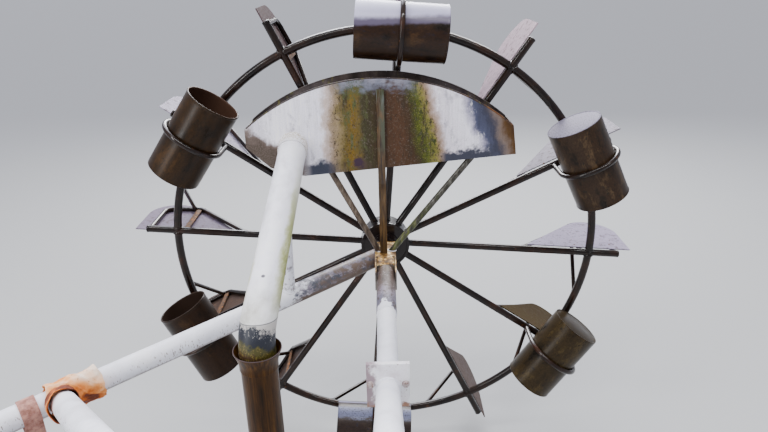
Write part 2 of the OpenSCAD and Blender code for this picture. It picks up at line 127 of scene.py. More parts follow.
def swept(path, radius, sides=8, closed=True):
    """A tube along a path: at each point a circle of that radius stands square to the path.
    The circle's first axis is square to the path and to the direction that the path avoids."""
    path = np.array(path, float)
    if closed:
        along = np.roll(path, -1, 0) - np.roll(path, 1, 0)
    else:
        along = np.gradient(path, axis=0)
    along /= np.linalg.norm(along, axis=1)[:, None]
    avoid = np.linalg.svd(path - path.mean(0))[2][2]
    side = np.cross(along, avoid)
    side /= np.linalg.norm(side, axis=1)[:, None]
    up = np.cross(side, along)
    a = around(sides)
    ring = side[:, None] * np.cos(a)[None, :, None] + up[:, None] * np.sin(a)[None, :, None]
    width = np.broadcast_to(radius, len(path))[:, None, None]
    points = (path[:, None] + width * ring).reshape(-1, 3)
    first = np.arange(sides)
    caps = [] if closed else [first[::-1], first + (len(path) - 1) * sides]
    return points, grid_faces(len(path), sides, closed, True), caps


# %% Placing a part and telling its inside from its outside


def placed(part, place):
    """A part in millimetres set by a frame: columns x, y, z and origin, the origin in metres."""
    return (part[0] * 0.001 @ place[:3, :3].T + place[:3, 3], *part[1:])


def columns(x, y, z, origin):
    """The frame of a part from its three axes and its origin in metres."""
    m = np.eye(4)
    m[:3, 0], m[:3, 1], m[:3, 2], m[:3, 3] = x, y, z, origin
    return m


def volume(points, face):
    """The volume under an array of faces: over each face's fan of triangles, a . (b x c) / 6."""
    a, total = points[face[..., 0]], 0.0
    for i in range(1, face.shape[-1] - 1):
        total += np.sum(a * np.cross(points[face[..., i]], points[face[..., i + 1]])) / 6
    return total


# %% One object from its parts
made = {}


def piece(name, parts, body, replaces=(), crease=35):
    """One object from several closed parts, on its body, kept under its name among the made
    pieces. A part whose volume comes out negative has its faces turned over."""
    points, quads, caps, start = [], [], [], 0
    for p, q, c in parts:
        turn = -1 if volume(p, q) + sum(volume(p, f) for f in c) < 0 else 1
        points.append(p)
        quads.append(q[:, ::turn] + start)
        caps += [(f[::turn] + start).tolist() for f in c]
        start += len(p)
    mesh = bpy.data.meshes.new(name)
    mesh.from_pydata(np.concatenate(points).tolist(), [], np.concatenate(quads).tolist() + caps)
    mesh.polygons.foreach_set("use_smooth", np.ones(len(mesh.polygons), bool))
    mesh.set_sharp_from_angle(angle=math.radians(crease))
    obj = bpy.data.objects.new(name, mesh)
    bpy.context.scene.collection.objects.link(obj)
    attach(obj, body)
    if replaces:
        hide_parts(*replaces)
    made[name] = obj
    print(name, len(mesh.vertices), "points", len(mesh.polygons), "faces")
    return obj


# %% [markdown]
# ## Frames of the wheel
# The wheel repeats itself at each of its twelve spokes. Its parts could be copied by an array
# modifier, but here each is drawn once in the frame of its spoke and set by plain matrices, so
# that the numbers stay those of one straight spoke.

# %% Frames of the spokes, the hub and the buckets


def spoke_frame(k):
    """x outwards along spoke k, y against the turn, z to the front, origin at the hub."""
    a = math.radians(90 - 30 * k - WHEEL_TURN)
    return columns((math.cos(a), 0, math.sin(a)), (-math.sin(a), 0, math.cos(a)), (0, -1, 0), HUB)


HUB_FRAME = columns((1, 0, 0), (0, 1, 0), (0, 0, 1), HUB)
SPOKES = [spoke_frame(k) for k in range(12)]
BUCKET_TURN = columns((1, 0, 0), (0, 0, 1), (0, -1, 0), (0, 0, 0))
BUCKET_PLACE = [1.0, 0.189, 0.1373]  # middle of its closed end in the spoke's frame, in metres


def bucket_frame(n):
    """z along bucket n from its closed end to its mouth, origin at the closed end's centre."""
    m = SPOKES[2 * n - 2]
    place = m @ BUCKET_TURN
    place[:3, 3] = m[:3, 3] + m[:3, :3] @ BUCKET_PLACE
    return place


print("frames of", len(SPOKES), "spokes")

# %% [markdown]
# ## Buckets
# The real buckets are rolled from 4 mm sheet and welded shut at one end. A bucket could be a
# cylinder with a thickness, but its looks come from the rolled lip at the mouth and the weld
# round the bottom, so one profile with all three is turned round the bucket's axis.

# %% Six buckets with rolled lips and welded bottoms
RADIUS, LENGTH, WALL = 118, 378, 4  # millimetres
outside = [(0.5, 1.2), (108, 1.2), (110.5, 2.2), (113, 0.2), (115.5, -0.2), (117.6, 1.4), (RADIUS, 4.5)]
outside += [(RADIUS, h) for h in (60, 190, 320, 360, 369)]
curl = np.linspace(-0.6, 3.3, 9)
lip = [(RADIUS - 2.5 + WALL * math.cos(a), LENGTH - 4.5 + WALL * math.sin(a)) for a in curl]
inside = [(RADIUS - WALL, h) for h in (366, 190, 20)] + [(113, 8.5), (110, 6.2), (106, 5.2), (0.5, 5)]
bucket = turned(outside + lip + inside, 72)
for n in range(1, 7):
    bent = bucket[0].copy()
    a = np.arctan2(bent[:, 1], bent[:, 0])
    wall = np.hypot(bent[:, 0], bent[:, 1]) > 100
    dent = 1 - 0.004 * wall * (1 + np.cos(3 * a + n)) * (bent[:, 2] / LENGTH) ** 2  # deepest at the mouth
    bent[:, :2] *= dent[:, None]
    shell = placed((bent, *bucket[1:]), bucket_frame(n))
    replaced = ["bucket_%d" % n] + ["bucket_bottoms"] * (n == 6)
    piece("bucket_shell_%d" % n, [shell], "wheel", replaced)

# %% [markdown]
# ## Weld beads
# Where two tubes meet, the weld follows the line of their crossing. That line is worked out
# from the two cylinders: from each point of the first tube's end circle a step is taken along
# its axis until the distance to the second tube's axis is that tube's radius. A thin tube is
# then laid along the line, and its radius swells a little at every third point, as a hand
# laid bead does.

# %% Lines of crossing and beads


def unit(v):
    """The direction of v with length one."""
    return np.array(v, float) / np.linalg.norm(v)


def end_circle(p, u, r, n=48):
    """A circle of radius r about p, square to u."""
    u = unit(u)
    e = unit(np.cross(u, (0, 1, 0) if abs(u[1]) < 0.9 else (1, 0, 0)))
    a = around(n)[:, None]
    return np.array(p, float) + r * (np.cos(a) * e + np.sin(a) * np.cross(u, e))


def on_tube(p, u, r, p2, u2, r2):
    """Where a tube of radius r from p along u meets a tube of radius r2 about p2 and u2:
    the smaller root of |d + s v| = r2, with d and v taken square to u2."""
    u, u2 = unit(u), unit(u2)
    start = end_circle(p, u, r)
    d = start - p2
    d -= (d @ u2)[:, None] * u2
    v = u - (u @ u2) * u2
    a, b, c = v @ v, d @ v, np.einsum("ij,ij->i", d, d) - r2 * r2
    s = (-b - np.sqrt(np.maximum(b * b - a * c, 0))) / a
    return start + s[:, None] * u


def on_plane(p, u, r, q, n):
    """Where a tube of radius r from p along u meets the plane through q square to n."""
    start = end_circle(p, u, r)
    s = ((q - start) @ np.array(n, float)) / (unit(u) @ np.array(n, float))
    return start + s[:, None] * unit(u)


def bead(path, radius):
    """A weld bead along a closed line: its radius rises by a fifth at every third point."""
    i = np.arange(len(path))
    return swept(path, radius * (1 + 0.2 * np.cos(2 * math.pi * i / 3) + 0.1 * np.sin(i * 1.7)), 6)


# %% The ring between rim and spoke
RIM, RIM_TUBE = 1000, 19.0  # radii of the rim and of its tube, in millimetres as all sizes here


def collar(side):
    """The weld that fills the gap between the rim tube's flat end and the spoke: between the
    end circle A and a line B on the spoke, a ring whose section swells outwards."""
    t, s = around(48)[:, None], around(10)[None, :]
    ax, ay, az = RIM + 18.9 * np.cos(t), RIM_TUBE + 0 * t, 18.9 * np.sin(t)
    bx, bz = RIM + 23 * np.cos(t), 16.4 * np.sin(t)
    by = np.sqrt(16.7**2 - bz**2)
    half = np.cos(s) * 0.5
    swell = (2.6 + 0.5 * np.cos(16 * t)) * np.sin(s)
    x = (ax + bx) / 2 + half * (ax - bx) + swell * np.cos(t)
    z = (az + bz) / 2 + half * (az - bz) + swell * np.sin(t)
    y = (ay + by) / 2 + half * (ay - by)
    return np.stack([x, side * y, z], -1).reshape(-1, 3), grid_faces(48, 10), []


# %% Beads of the spokes, paddle frames and bails
SPOKE = ((0, 0, 0), (1, 0, 0), 16.85)  # a spoke's start, direction and radius in its own frame
HUB_DRUM = ((0, 0, 0), (0, 0, 1), 115)
lead = math.radians(13.8)  # how far ahead of its spoke a paddle's brace meets the rim
foot = np.array([992.0, 0, -278.9])  # the brace's foot on the paddle's frame
head = RIM * np.array([math.cos(lead), -math.sin(lead), 0])  # and its head on the rim
way = unit(head - foot)
rim_there = (head, (math.sin(lead), math.cos(lead), 0), RIM_TUBE)
frame_rod = ((958, 0, -283), (175, 0, 21), 11)
slant = np.array([-286, 0, 274])  # the way of the frame's slanting rod back to the spoke
spoke_parts = [
    bead(on_tube((200, 0, 0), (-1, 0, 0), 17.6, *HUB_DRUM), 3.2),  # the spoke on the hub's drum
    bead(on_tube((1133, 0, -80), (0, 0, 1), 11.6, *SPOKE), 3.0),  # the paddle frame's outer rod
    bead(on_tube([672, 0, -9.15] - 0.3 * slant, slant, 11.6, *SPOKE), 3.0),  # and its slanting rod
    bead(on_tube(head - 120 * way, way, 10.6, *rim_there), 3.2),  # the brace on the rim
    bead(on_tube(foot + 120 * way, -way, 10.6, *frame_rod), 3.0),  # and on the paddle's frame
    collar(1),
    collar(-1),
]
bail_parts = [
    bead(on_tube((870.7, 0, 80), (0, 0, -1), 11.6, *SPOKE), 3.0),  # the bail's inner end
    bead(on_tube((1089.3, 0, 40.85), (-0.844, 0, -0.536), 11.4, *SPOKE), 3.2),  # and its outer end
]
cap = [(16.9, -6), (17.6, -4), (18.2, -1), (17.6, 1.2), (15.5, 3.6), (10, 5.6), (3, 6.2), (0.4, 6.2)]
tip = turned(cap, 32)
tip_frame = columns((0, 1, 0), (0, 0, 1), (1, 0, 0), (1.145, 0, 0))
piece("spoke_welds", [placed(p, m) for m in SPOKES for p in spoke_parts], "wheel")
piece("bail_welds", [placed(p, m) for m in SPOKES[::2] for p in bail_parts], "wheel")
piece("spoke_tips", [placed(tip, m @ tip_frame) for m in SPOKES], "wheel")

# %% [markdown]
# ## Hub, bolts and caps
# The hub's drum has a raised edge and a ring of six bolts round the bearing, and its far end a
# dished plate. Hexagon heads are the same turned profile with six sides: the crown's bevel is
# what makes a bolt look forged and not cut from a bar.

# %% Hexagon bolts
WASHER = 2.4  # its thickness in millimetres


def bolt(across, head, shank, reach):
    """A bolt along +Z with its head's underside at zero: washer, six-sided head with a bevelled
    crown, and a round end that comes out by reach on the far side."""
    r = across / math.sqrt(3)
    hole, wide, wider = shank / 2, across * 0.62, across * 0.66
    crown = [(hole, 0), (r, 0), (r, head - 1.4), (0.86 * r, head), (0.3 * r, head + 0.3)]
    disc = [(hole, -WASHER), (wide, -WASHER), (wider, -1.8), (wider, -0.4), (wide, 0), (hole, 0)]
    rod = [(0.3, -reach), (shank * 0.42, -reach), (hole, 1.2 - reach), (hole, 0.5), (0.3, 0.5)]
    nut = [(hole, 0), (0.9 * r, 0), (r, 1.2), (r, head), (0.9 * r, head + 1.2), (hole, head + 1.2)]
    return turned(crown, 6), turned(disc, 32, True), turned(rod, 20), turned(nut, 6, True)


def moved(part, shift):
    """A part shifted by that many millimetres."""
    return (part[0] + shift, *part[1:])


def through_bolt(place, across, head, shank, grip):
    """Head, washer and shank on one side of a grip, washer and nut on the other."""
    hexagon, washer, rod, nut = bolt(across, head, shank, grip + head + 8)
    near = [moved(hexagon, (0, 0, WASHER)), moved(washer, (0, 0, WASHER))]
    far = [moved(washer, (0, 0, -grip)), moved(nut, (0, 0, -grip - 2.6 - head - 1.2))]
    return [placed(p, place) for p in near + [rod] + far]


# %% Bolts of the joint
TO_FRONT = ((1, 0, 0), (0, 0, 1), (0, -1, 0))  # axes of a part whose z points to the front
parts = []
for x in (-0.057, 0.057):
    parts += through_bolt(columns(*TO_FRONT, HUB + [x, -1.120, 0]), 19, 7.5, 12, 16)
piece("joint_bolts", parts, "frame")

# %% Edges and bolts of the hub, and the axle's cap
CIRCLE = 0.052  # metres: radius of the ring of bolts
hub_front = columns(*TO_FRONT, HUB)
hub_bolts = []
for a in np.radians(np.arange(6) * 60 + 12):
    place = columns(*TO_FRONT, HUB + [CIRCLE * math.cos(a), -0.057, CIRCLE * math.sin(a)])
    hub_bolts += [placed(moved(p, (0, 0, 1.6)), place) for p in bolt(13, 5, 8, 4)[:2]]
edge = [(103.5, 44), (103.5, 48.2), (104.6, 49.6), (113.6, 49.6), (115.6, 48), (115.9, 43), (110, 42)]
seal = [(31.5, 56), (31.5, 60.5), (33, 62), (42, 62), (45, 60), (46, 56.5), (38, 55.5)]
far_edge = [(r, -h) for r, h in edge]
hub_bolts += [placed(turned(p, 96, True), hub_front) for p in (edge, seal, far_edge)]
hub_bolts.append(placed(bead(end_circle((0, 0, 45), (0, 0, 1), 65.8, 72), 3.0), hub_front))
piece("hub_trim", hub_bolts, "wheel")

cap_place = columns((1, 0, 0), (0, 0, -1), (0, 1, 0), HUB + [0, 0.061, 0])
piece("cap_bolt", [placed(p, cap_place) for p in bolt(24, 10, 16, 5)[:2]], "frame")

# %% [markdown]
# ## Welds and hems of the frame
# The fixed frame's tubes end on plates, so their beads are circles or ellipses: the crossing of
# a slanting tube with a plane. The trough's walls are stiffened by a round hem along their
# curved edge, and the drain pipe has a moulded ring at each joint.

# %% Beads where the frame's tubes meet plates and each other
BRACE_FROM, BRACE_WAY = np.array([-46.3, -186, 1]), np.array([-954, -779, -71])


def on_brace(share):
    """A point of the side brace's axis: its start plus a share of its way."""
    return BRACE_FROM + share * BRACE_WAY


brace_dir = unit(BRACE_WAY)
beam_foot, beam_head = np.array([0, -1950, 380]), np.array([0, -1120, -20])
near_dir = unit(beam_head - beam_foot)
stay_from = on_brace(1.114)
stay_dir = unit(np.array([-431, -1950, 380]) - stay_from)
ALONG_Y = (0, 1, 0)
plate_face = ((0, -1950 + 12, 0), ALONG_Y)
parts = [  # near beam and far beam on the joint plates, far beam on the sleeve, near beam and stay
    # on the base plate, side brace on the bracket and in its flange
    bead(on_plane(beam_head - 60 * near_dir, near_dir, 38.4, (0, -1120.4, 0), ALONG_Y), 3.8),
    bead(on_plane((0, -1000, 0), (0, -1, 0), 37, (0, -1103.8, 0), ALONG_Y), 3.6),
    bead(on_plane((0, -760, 0), (0, 1, 0), 37, (0, -691.2, 0), ALONG_Y), 2.4),
    bead(on_plane(beam_foot + 60 * near_dir, -near_dir, 38.4, *plate_face), 3.8),
    bead(on_plane(stay_from + 1200 * stay_dir, stay_dir, 41.4, *plate_face), 3.8),
    bead(on_plane(BRACE_FROM + 80 * brace_dir, -brace_dir, 41.4, (-46.8, 0, 0), (1, 0, 0)), 3.6),
    bead(end_circle(on_brace(1.44) - 0.5 * brace_dir, brace_dir, 41.6), 3.6),
]
prop = on_brace(0.38)
parts.append(bead(on_tube(prop + [3, 0, 150], (-8, 0, -490), 30.8, prop, brace_dir, 41.2), 3.2))
for foot_x, head_x, head_z in ((-30, -226, 426), (30, 378, 477)):  # the two struts
    foot, head = np.array([foot_x, -200, 45.0]), np.array([head_x, -200, head_z])
    way = head - foot
    parts.append(bead(on_plane(foot + 0.3 * way, -way, 14, foot + [0, 0, 0.5], (0, 0, 1)), 2.6))
    parts.append(bead(on_plane(foot + 0.7 * way, way, 14, (564, 0, 492.9), (-76.5, 0, 901)), 2.6))
piece("frame_welds", [placed(p, HUB_FRAME) for p in parts], "frame")

# %% Hems of the trough and the drain pipe's ring
ARC = 866.4  # radius of the trough's curved edge
arc = np.radians(np.linspace(49.6, 129.4, 90))
hems = []
for y in (-223, -50):
    line = np.stack([-20 + ARC * np.cos(arc), y + 0 * arc, -40 + ARC * np.sin(arc)], -1)
    hems.append(placed(swept(line, 3.4, 8, False), HUB_FRAME))
piece("trough_hems", hems, "frame")

pipe_dir = unit((-23, -925, -332))
pipe_from = np.array([-378, -225, 546.0])
pipe_side = unit(np.cross(pipe_dir, (0, 0, 1)))
pipe_frame = columns(pipe_side, np.cross(pipe_dir, pipe_side), pipe_dir, HUB + pipe_from / 1000)
ring = [(56.6, 0), (58.4, 0.6), (58.9, 2.5), (58.7, 15), (58, 16.4), (56.6, 17)]
rings = placed(moved(turned(ring, 72, True), (0, 0, 34.5)), pipe_frame)
piece("pipe_rings", [rings], "frame")

# %% [markdown]
# ## The funnel
# The standpipe opens in a moulded funnel. A cone would do, but a real one flares: its radius
# grows with the height to the power of one and a half, and its lip is rounded.

# %% A flared funnel
h = np.linspace(0, 1, 12)
socket = [(52.5, 0), (60.5, 0), (60.8, 1.5), (60.5, 3)]
flare = [(60.8 + 14.7 * t**1.5, 14 + 50 * t) for t in h]
inner = [(57.8 + 14.4 * t**1.5, 16 + 49 * t) for t in h[::-1]]
profile = socket + flare + [(75.4, 66.4), (74, 67), (72.6, 66.2)] + inner + [(57.6, 6), (56.6, 5), (52.5, 5)]
mouth = columns((1, 0, 0), (0, 1, 0), (0, 0, 1), HUB + [-0.401, -1.150, 0.100])
shell = placed(turned(profile, 96, True), mouth)
piece("funnel_shell", [shell], "frame", ("standpipe_funnel",))

# %% [markdown]
# ## Silt in the bracket
# Years of overflow have filled the pocket between the bracket's top plate and the sleeve with
# ochre silt. A flat fill would look cut, so the bed is a closed surface over two parameters:
# a squared ring carried from the plate to the sleeve, pushed out by a few waves.

# %% A bed of caked silt
a, v = np.meshgrid(around(96), np.linspace(0, 1, 24), indexing="ij")
squared = [np.sign(c) * np.abs(c) ** 0.35 for c in (np.cos(a), np.sin(a))]
ripples = ((0.9, 3, 9), (0.6, 7, 14), (0.4, 13, 5), (0.3, 19, 23))  # height, turns and waves of each
waves = sum(w * np.sin(p * a + q * v + p * q) for w, p, q in ripples)
round_off = 1 - 0.10 * (2 * v - 1) ** 8
x = (39.2 + 0.5 * waves) * squared[0]
z = 19 + (25.6 * round_off + waves) * squared[1] - 2.5 * v**2
silt = np.stack([x, -256 - 80 * v + 1.5 * waves, z], -1).reshape(-1, 3)
ends = [np.arange(96) * 24, np.arange(96)[::-1] * 24 + 23]
bed = placed((silt, grid_faces(96, 24, True, False), ends), HUB_FRAME)
piece("bracket_silt", [bed], "frame")

# %% [markdown]
# ## The lashing sheet and the strap's bolt
# A torn length of rusty sheet is wrapped round the brace where the stay meets it, and its tail
# round the stay. It is a tube whose radius is the sum of a few waves of different length, so it
# creases without order. Its ends run in and out like a torn edge, and a lobe lifts one of them.
# How far each point stands off the tube is kept on the mesh: the finish colours the hollows
# with rust and painted shade and the crests with paler rust and a painted highlight.

# %% A crumpled sheet


def crumpled(sides, rows, base, half, ridges, lobes, torn, seed, slant=0.0, rim=(0, 0)):
    """A crumpled sleeve and how far each point stands off. The radius is the base and the sum of
    squared sine waves round and along the tube, of sharp creases (cubes of one less a sine's
    size), of lobes that fade as a bell curve of the angle from their middle, and of a rim raised
    at each end. The length runs in and out with the angle, and one end is cut at a slant."""
    rng = np.random.default_rng(seed)
    a, s = np.meshgrid(around(sides), np.linspace(-1, 1, rows), indexing="ij")
    fold = np.zeros_like(a)
    for turns in (1, 1, 2, 2, 3, 3, 4, 5, 7):
        waves, start = rng.uniform(-4.5, 4.5), rng.uniform(0, 6.28)
        fold += (0.5 + 0.5 * np.sin(turns * a + waves * s + start + np.sin(2 * s + start))) ** 2 / turns**0.6
    for turns in (3, 5, 6, 8):
        waves, start = rng.uniform(-9.0, 9.0), rng.uniform(0, 6.28)
        fold += 0.5 * (1 - np.abs(np.sin(turns * a / 2 + waves * s / 2 + start + np.sin(a + 3 * s)))) ** 3
    fold = (fold - fold.min()) * ridges
    for a0, width, tall, c in lobes:
        away = (a - a0 + math.pi) % (2 * math.pi) - math.pi
        fold += tall * np.exp(-((away / width) ** 2)) * ((1 + c * s) / 2) ** 2
    for tall, end in zip(rim, (1 + s, 1 - s)):
        fold += tall * (0.6 + 0.4 * np.sin(2 * a + seed)) * np.exp(-((end / 0.2) ** 2))
    along = s * (half + torn * (np.sin(2 * a + 1) + 0.5 * np.sin(5 * a + seed) + 0.2 * np.sin(13 * a)))
    along += (1 + s) / 2 * slant * np.cos(a - 0.2)
    shell = base + np.concatenate([fold, (fold - 1.6)[:, ::-1]], 1)
    along = np.concatenate([along, along[:, ::-1] * 0.995], 1)
    angle = np.concatenate([a, a], 1)
    points = np.stack([shell * np.cos(angle), shell * np.sin(angle), along], -1).reshape(-1, 3)
    return (points, grid_faces(sides, 2 * rows), []), np.concatenate([fold, fold[:, ::-1]], 1).ravel()


# %% The lashing round the brace and its tail round the stay


def along_tube(direction, origin):
    """A frame with z along a tube: x level and square to it, y square to both."""
    e = unit(np.cross(direction, (0, 0, 1)))
    return columns(e, np.cross(direction, e), direction, HUB + origin / 1000)


# a lobe's angle and width in radians, its height in millimetres, and its lean along the tube
wrap_lobes = [(4.5, 0.55, 24, -1), (3.3, 0.35, 9, 0.4), (4.3, 0.60, 14, 0.9)]
tail_lobes = [(5.9, 0.5, 9, 1), (5.2, 0.4, 8, 0.6)]
wrap, wrap_fold = crumpled(180, 64, 43.6, 84, 5.6, wrap_lobes, torn=5, seed=7, rim=(4, 5))
tail, tail_fold = crumpled(120, 40, 43.4, 50, 2.6, tail_lobes, torn=7, seed=5, slant=42, rim=(1, 4))
sheets = [placed(wrap, along_tube(brace_dir, on_brace(1.075)))]
sheets.append(placed(tail, along_tube(stay_dir, stay_from + 104 * stay_dir)))
lash = piece("lashing_wrap", sheets, "frame", ("lashing_sheet",), 60)
FOLD_TOP = 36  # millimetres: the height that counts as a full fold
fold = lash.data.attributes.new("fold", "FLOAT", "POINT")
fold.data.foreach_set("value", np.concatenate([wrap_fold, tail_fold]) / FOLD_TOP)

# %% The strap's bolt
level = unit(BRACE_WAY * [1, 1, 0])
strap_at = HUB + on_brace(1.19) / 1000 - [0, 0, 0.262]
square = np.cross((0, 0, 1), level)
GRIP = 93.4  # millimetres across both legs of the strap
place = columns((0, 0, 1), level, square, strap_at + square * GRIP / 2000)
piece("strap_bolt", through_bolt(place, 19, 7.5, 12, GRIP), "frame")

# %% [markdown]
# ## Finishes
# Every finish is a small graph. One function adds a node, sets it and links it. Colours are
# written as hex values and turned to linear light. Patterns read the object's own coordinates
# in metres, so a patch of 40 mm is 40 mm, and a stain can be put at its real place on the part.

# %% Colours and patterns


def linear(hex_colour):
    """sRGB hex to linear RGBA: each channel is bent by the sRGB curve."""
    c = np.array([int(hex_colour[i : i + 2], 16) for i in (1, 3, 5)]) / 255.0
    c = np.where(c <= 0.04045, c / 12.92, ((c + 0.055) / 1.055) ** 2.4)
    return (*c.tolist(), 1.0)


class Patterns:
    """A material's tree, the point in metres in its object's coordinates, and patterns of it."""

    def __init__(self, name):
        """An empty tree with the shader, the output and the point."""
        self.material = bpy.data.materials.new(name)
        self.material.use_nodes = True
        self.tree = self.material.node_tree
        self.tree.nodes.clear()
        self.shader = self.add("BsdfPrincipled")[0].node
        self.add("OutputMaterial", self.shader.outputs[0])
        self.point = self.add("TexCoord")["Object"]
        self.x, self.y, self.z = self.add("SeparateXYZ", self.point)

    def give(self, socket, value):
        """Joins another socket to an input, or writes a plain value into it."""
        if isinstance(value, bpy.types.NodeSocket):
            self.tree.links.new(value, socket)
        else:
            socket.default_value = value

    def add(self, kind, *values, links=None, stops=None, **settings):
        """Adds a node with its settings and gives back its outputs. Values fill its first inputs in
        turn and links others by number or name; stops are the places and colours of a ramp."""
        new = self.tree.nodes.new("ShaderNode" + kind)
        for key, value in settings.items():
            setattr(new, key, value)
        for key, value in {**dict(enumerate(values)), **(links or {})}.items():
            self.give(new.inputs[key], value)
        if stops:
            band = new.color_ramp.elements
            while len(band) < len(stops):
                band.new(0.5)
            for stop, (place, colour) in zip(band, stops.items()):
                stop.position, stop.color = place, linear(colour)
        return new.outputs

    def grain(self, size, stretch=(1, 1, 1), detail=5, rough=0.55, offset=0.0):
        """Noise from 0 to 1 with patches of about size mm, drawn out along x, y and z."""
        scale = [1000 / (size * s) for s in stretch]
        spot = self.add("Mapping", self.point, (offset, offset, offset), links={3: scale})[0]
        return self.add("TexNoise", links={0: spot, 2: 1.0, 3: detail, 4: rough})[0]

    def plus(self, value, more, times=1):
        """A weighted sum: value + times x more."""
        if times != 1:
            more = self.both(more, times)
        return self.add("Math", value, more, operation="ADD")[0]

    def wavy(self, value, noise, reach):
        """A value whose borders wander by reach in all: value + reach x (noise - 1/2)."""
        return self.plus(value, self.plus(noise, -0.5), reach)

    def both(self, *masks):
        """The product of several masks or values."""
        out = masks[0]
        for mask in masks[1:]:
            out = self.add("Math", out, mask, operation="MULTIPLY")[0]
        return out

    def length(self, a, b):
        """The root of a x a + b x b."""
        return self.add("Math", self.plus(self.both(a, a), self.both(b, b)), operation="SQRT")[0]

    def distance(self, place):
        """The point's distance from a place in metres."""
        return self.add("VectorMath", self.point, tuple(place), operation="DISTANCE")["Value"]

    def above_hub(self):
        """The point's height over the middle of the hub."""
        return self.plus(self.z, -HUB[2])

    def facing_up(self):
        """1 where the surface faces up, 0 on a wall, -1 underneath: z of its normal."""
        return self.add("SeparateXYZ", self.add("NewGeometry")["Normal"])[2]

    def step(self, value, low, high):
        """A soft step from 0 at low to 1 at high; low may be the larger."""
        return self.add("MapRange", value, low, high, interpolation_type="SMOOTHSTEP")[0]

    def between(self, value, start, full, last, end):
        """A soft band: rises from start to full, stays at 1 to last and falls to 0 at end."""
        return self.both(self.step(value, start, full), self.step(value, end, last))

    def spread(self, noise, low, high):
        """The middle stretch of a noise, from 0.3 to 0.7, drawn out from low to high."""
        return self.add("MapRange", noise, 0.3, 0.7, low, high)[0]


# %% A finish under construction


class Finish(Patterns):
    """A finish under construction: its colour, roughness and relief so far."""

    def __init__(self, name, colour="#808080"):
        """A plain half-matt colour without relief."""
        super().__init__(name)
        self.colour, self.rough, self.height = linear(colour), 0.6, None

    def paint(self, value, stops):
        """Colours the whole surface by a band of colours that is read at value."""
        self.colour = self.add("ValToRGB", value, stops=stops)[0]

    def over(self, mask, colour, rough=None):
        """Lays a colour, and a roughness, over what is there where the mask is 1."""
        top = linear(colour) if isinstance(colour, str) else colour
        self.colour = self.add("Mix", mask, links={6: self.colour, 7: top}, data_type="RGBA")[2]
        if rough is not None:
            self.rough = self.add("Mix", mask, links={2: self.rough, 3: rough})[0]

    def shade(self, noise, low, high):
        """Multiplies the colour by a grey from low to high."""
        grey = self.add("CombineColor", *[self.spread(noise, low, high)] * 3)[0]
        links = {6: self.colour, 7: grey}
        self.colour = self.add("Mix", 1.0, links=links, data_type="RGBA", blend_type="MULTIPLY")[2]

    def raised(self, height, mm):
        """Adds a height of up to mm millimetres to the relief."""
        h = self.both(height, mm / 1000)
        self.height = h if self.height is None else self.plus(self.height, h)

    def done(self, targets=(), **values):
        """Joins colour, roughness and relief to the shader and gives it to nodes and pieces."""
        for key, value in {"Base Color": self.colour, "Roughness": self.rough, **values}.items():
            self.give(self.shader.inputs[key.replace("_", " ")], value)
        if self.height is not None:
            links = {"Height": self.height, "Distance": 1.0, "Strength": 1.0}
            self.give(self.shader.inputs["Normal"], self.add("Bump", links=links)[0])
        for name in targets:
            obj = made.get(name) or nodes[name]
            obj.data.materials.clear()
            obj.data.materials.append(self.material)
        print(self.material.name, len(self.tree.nodes), "nodes", *targets)
        return self.material


# %% [markdown]
# ## Wet steel
# Bare steel that is dipped at every turn is near black and brown, with a thin wet film. The rust
# is a dielectric, so metallic stays at zero, and the film is a coat with the IOR of water. The eye
# sees dark tubes with fine pale lines.

# %% The wheel's wet dark steel
WATER_FILM = {"Specular_IOR_Level": 0.12, "Coat_Weight": 0.9, "Coat_Roughness": 0.06, "Coat_IOR": 1.33}
f = Finish("wet browned steel")
broad = f.grain(90, detail=6, rough=0.6)
fine = f.grain(7, detail=4)
f.paint(broad, {0.30: "#0d0706", 0.45: "#170d08", 0.58: "#23140b", 0.72: "#351c0d"})
f.over(f.both(f.step(f.grain(28, offset=3.0), 0.62, 0.70), f.step(fine, 0.35, 0.6)), "#4b2d19")
f.shade(fine, 0.85, 1.15)
f.over(f.step(f.distance(HUB), 0.14, 0.12), "#1a1211")  # the hub's drum is one even dark tone
f.rough = f.spread(broad, 0.25, 0.45)
f.raised(fine, 0.3)
f.raised(f.grain(2.5, detail=2), 0.08)
wheel_steel = ["hub_drum", "hub_boss", "spokes", "rim", "paddle_frames", "paddle_braces", "axle"]
wheel_steel += ["axle_cap", "spoke_welds", "bail_welds", "spoke_tips", "hub_trim", "cap_bolt"]
wheel_steel += ["bail_%d" % n for n in range(1, 7)]
f.done(wheel_steel, **WATER_FILM)

# %% [markdown]
# ## Bucket sheet
# Each bucket carries brown and olive streaks along its length, left by water running out of
# the mouth. The streaks need the bucket's own direction, so each bucket has a material whose
# points are taken into its frame before the noise is stretched: x is then outwards along the
# spoke, y to the front and z along the bucket. The eye sees dull wet sheet with a few pale runs.

# %% Colours of the six buckets
TINTS = {  # dark, middle, light and the patches over them
    1: ("#140b05", "#27170b", "#3c2814", "#231a1e"),
    2: ("#17110b", "#302216", "#4c3b28", "#201b15"),
    3: ("#171109", "#2f2412", "#42351c", "#1f1810"),
    4: ("#1a1311", "#2e231e", "#483b31", "#2b2730"),
    5: ("#150c05", "#231407", "#32200d", "#181008"),
    6: ("#1a1107", "#291a09", "#3b2710", "#20170c"),
}


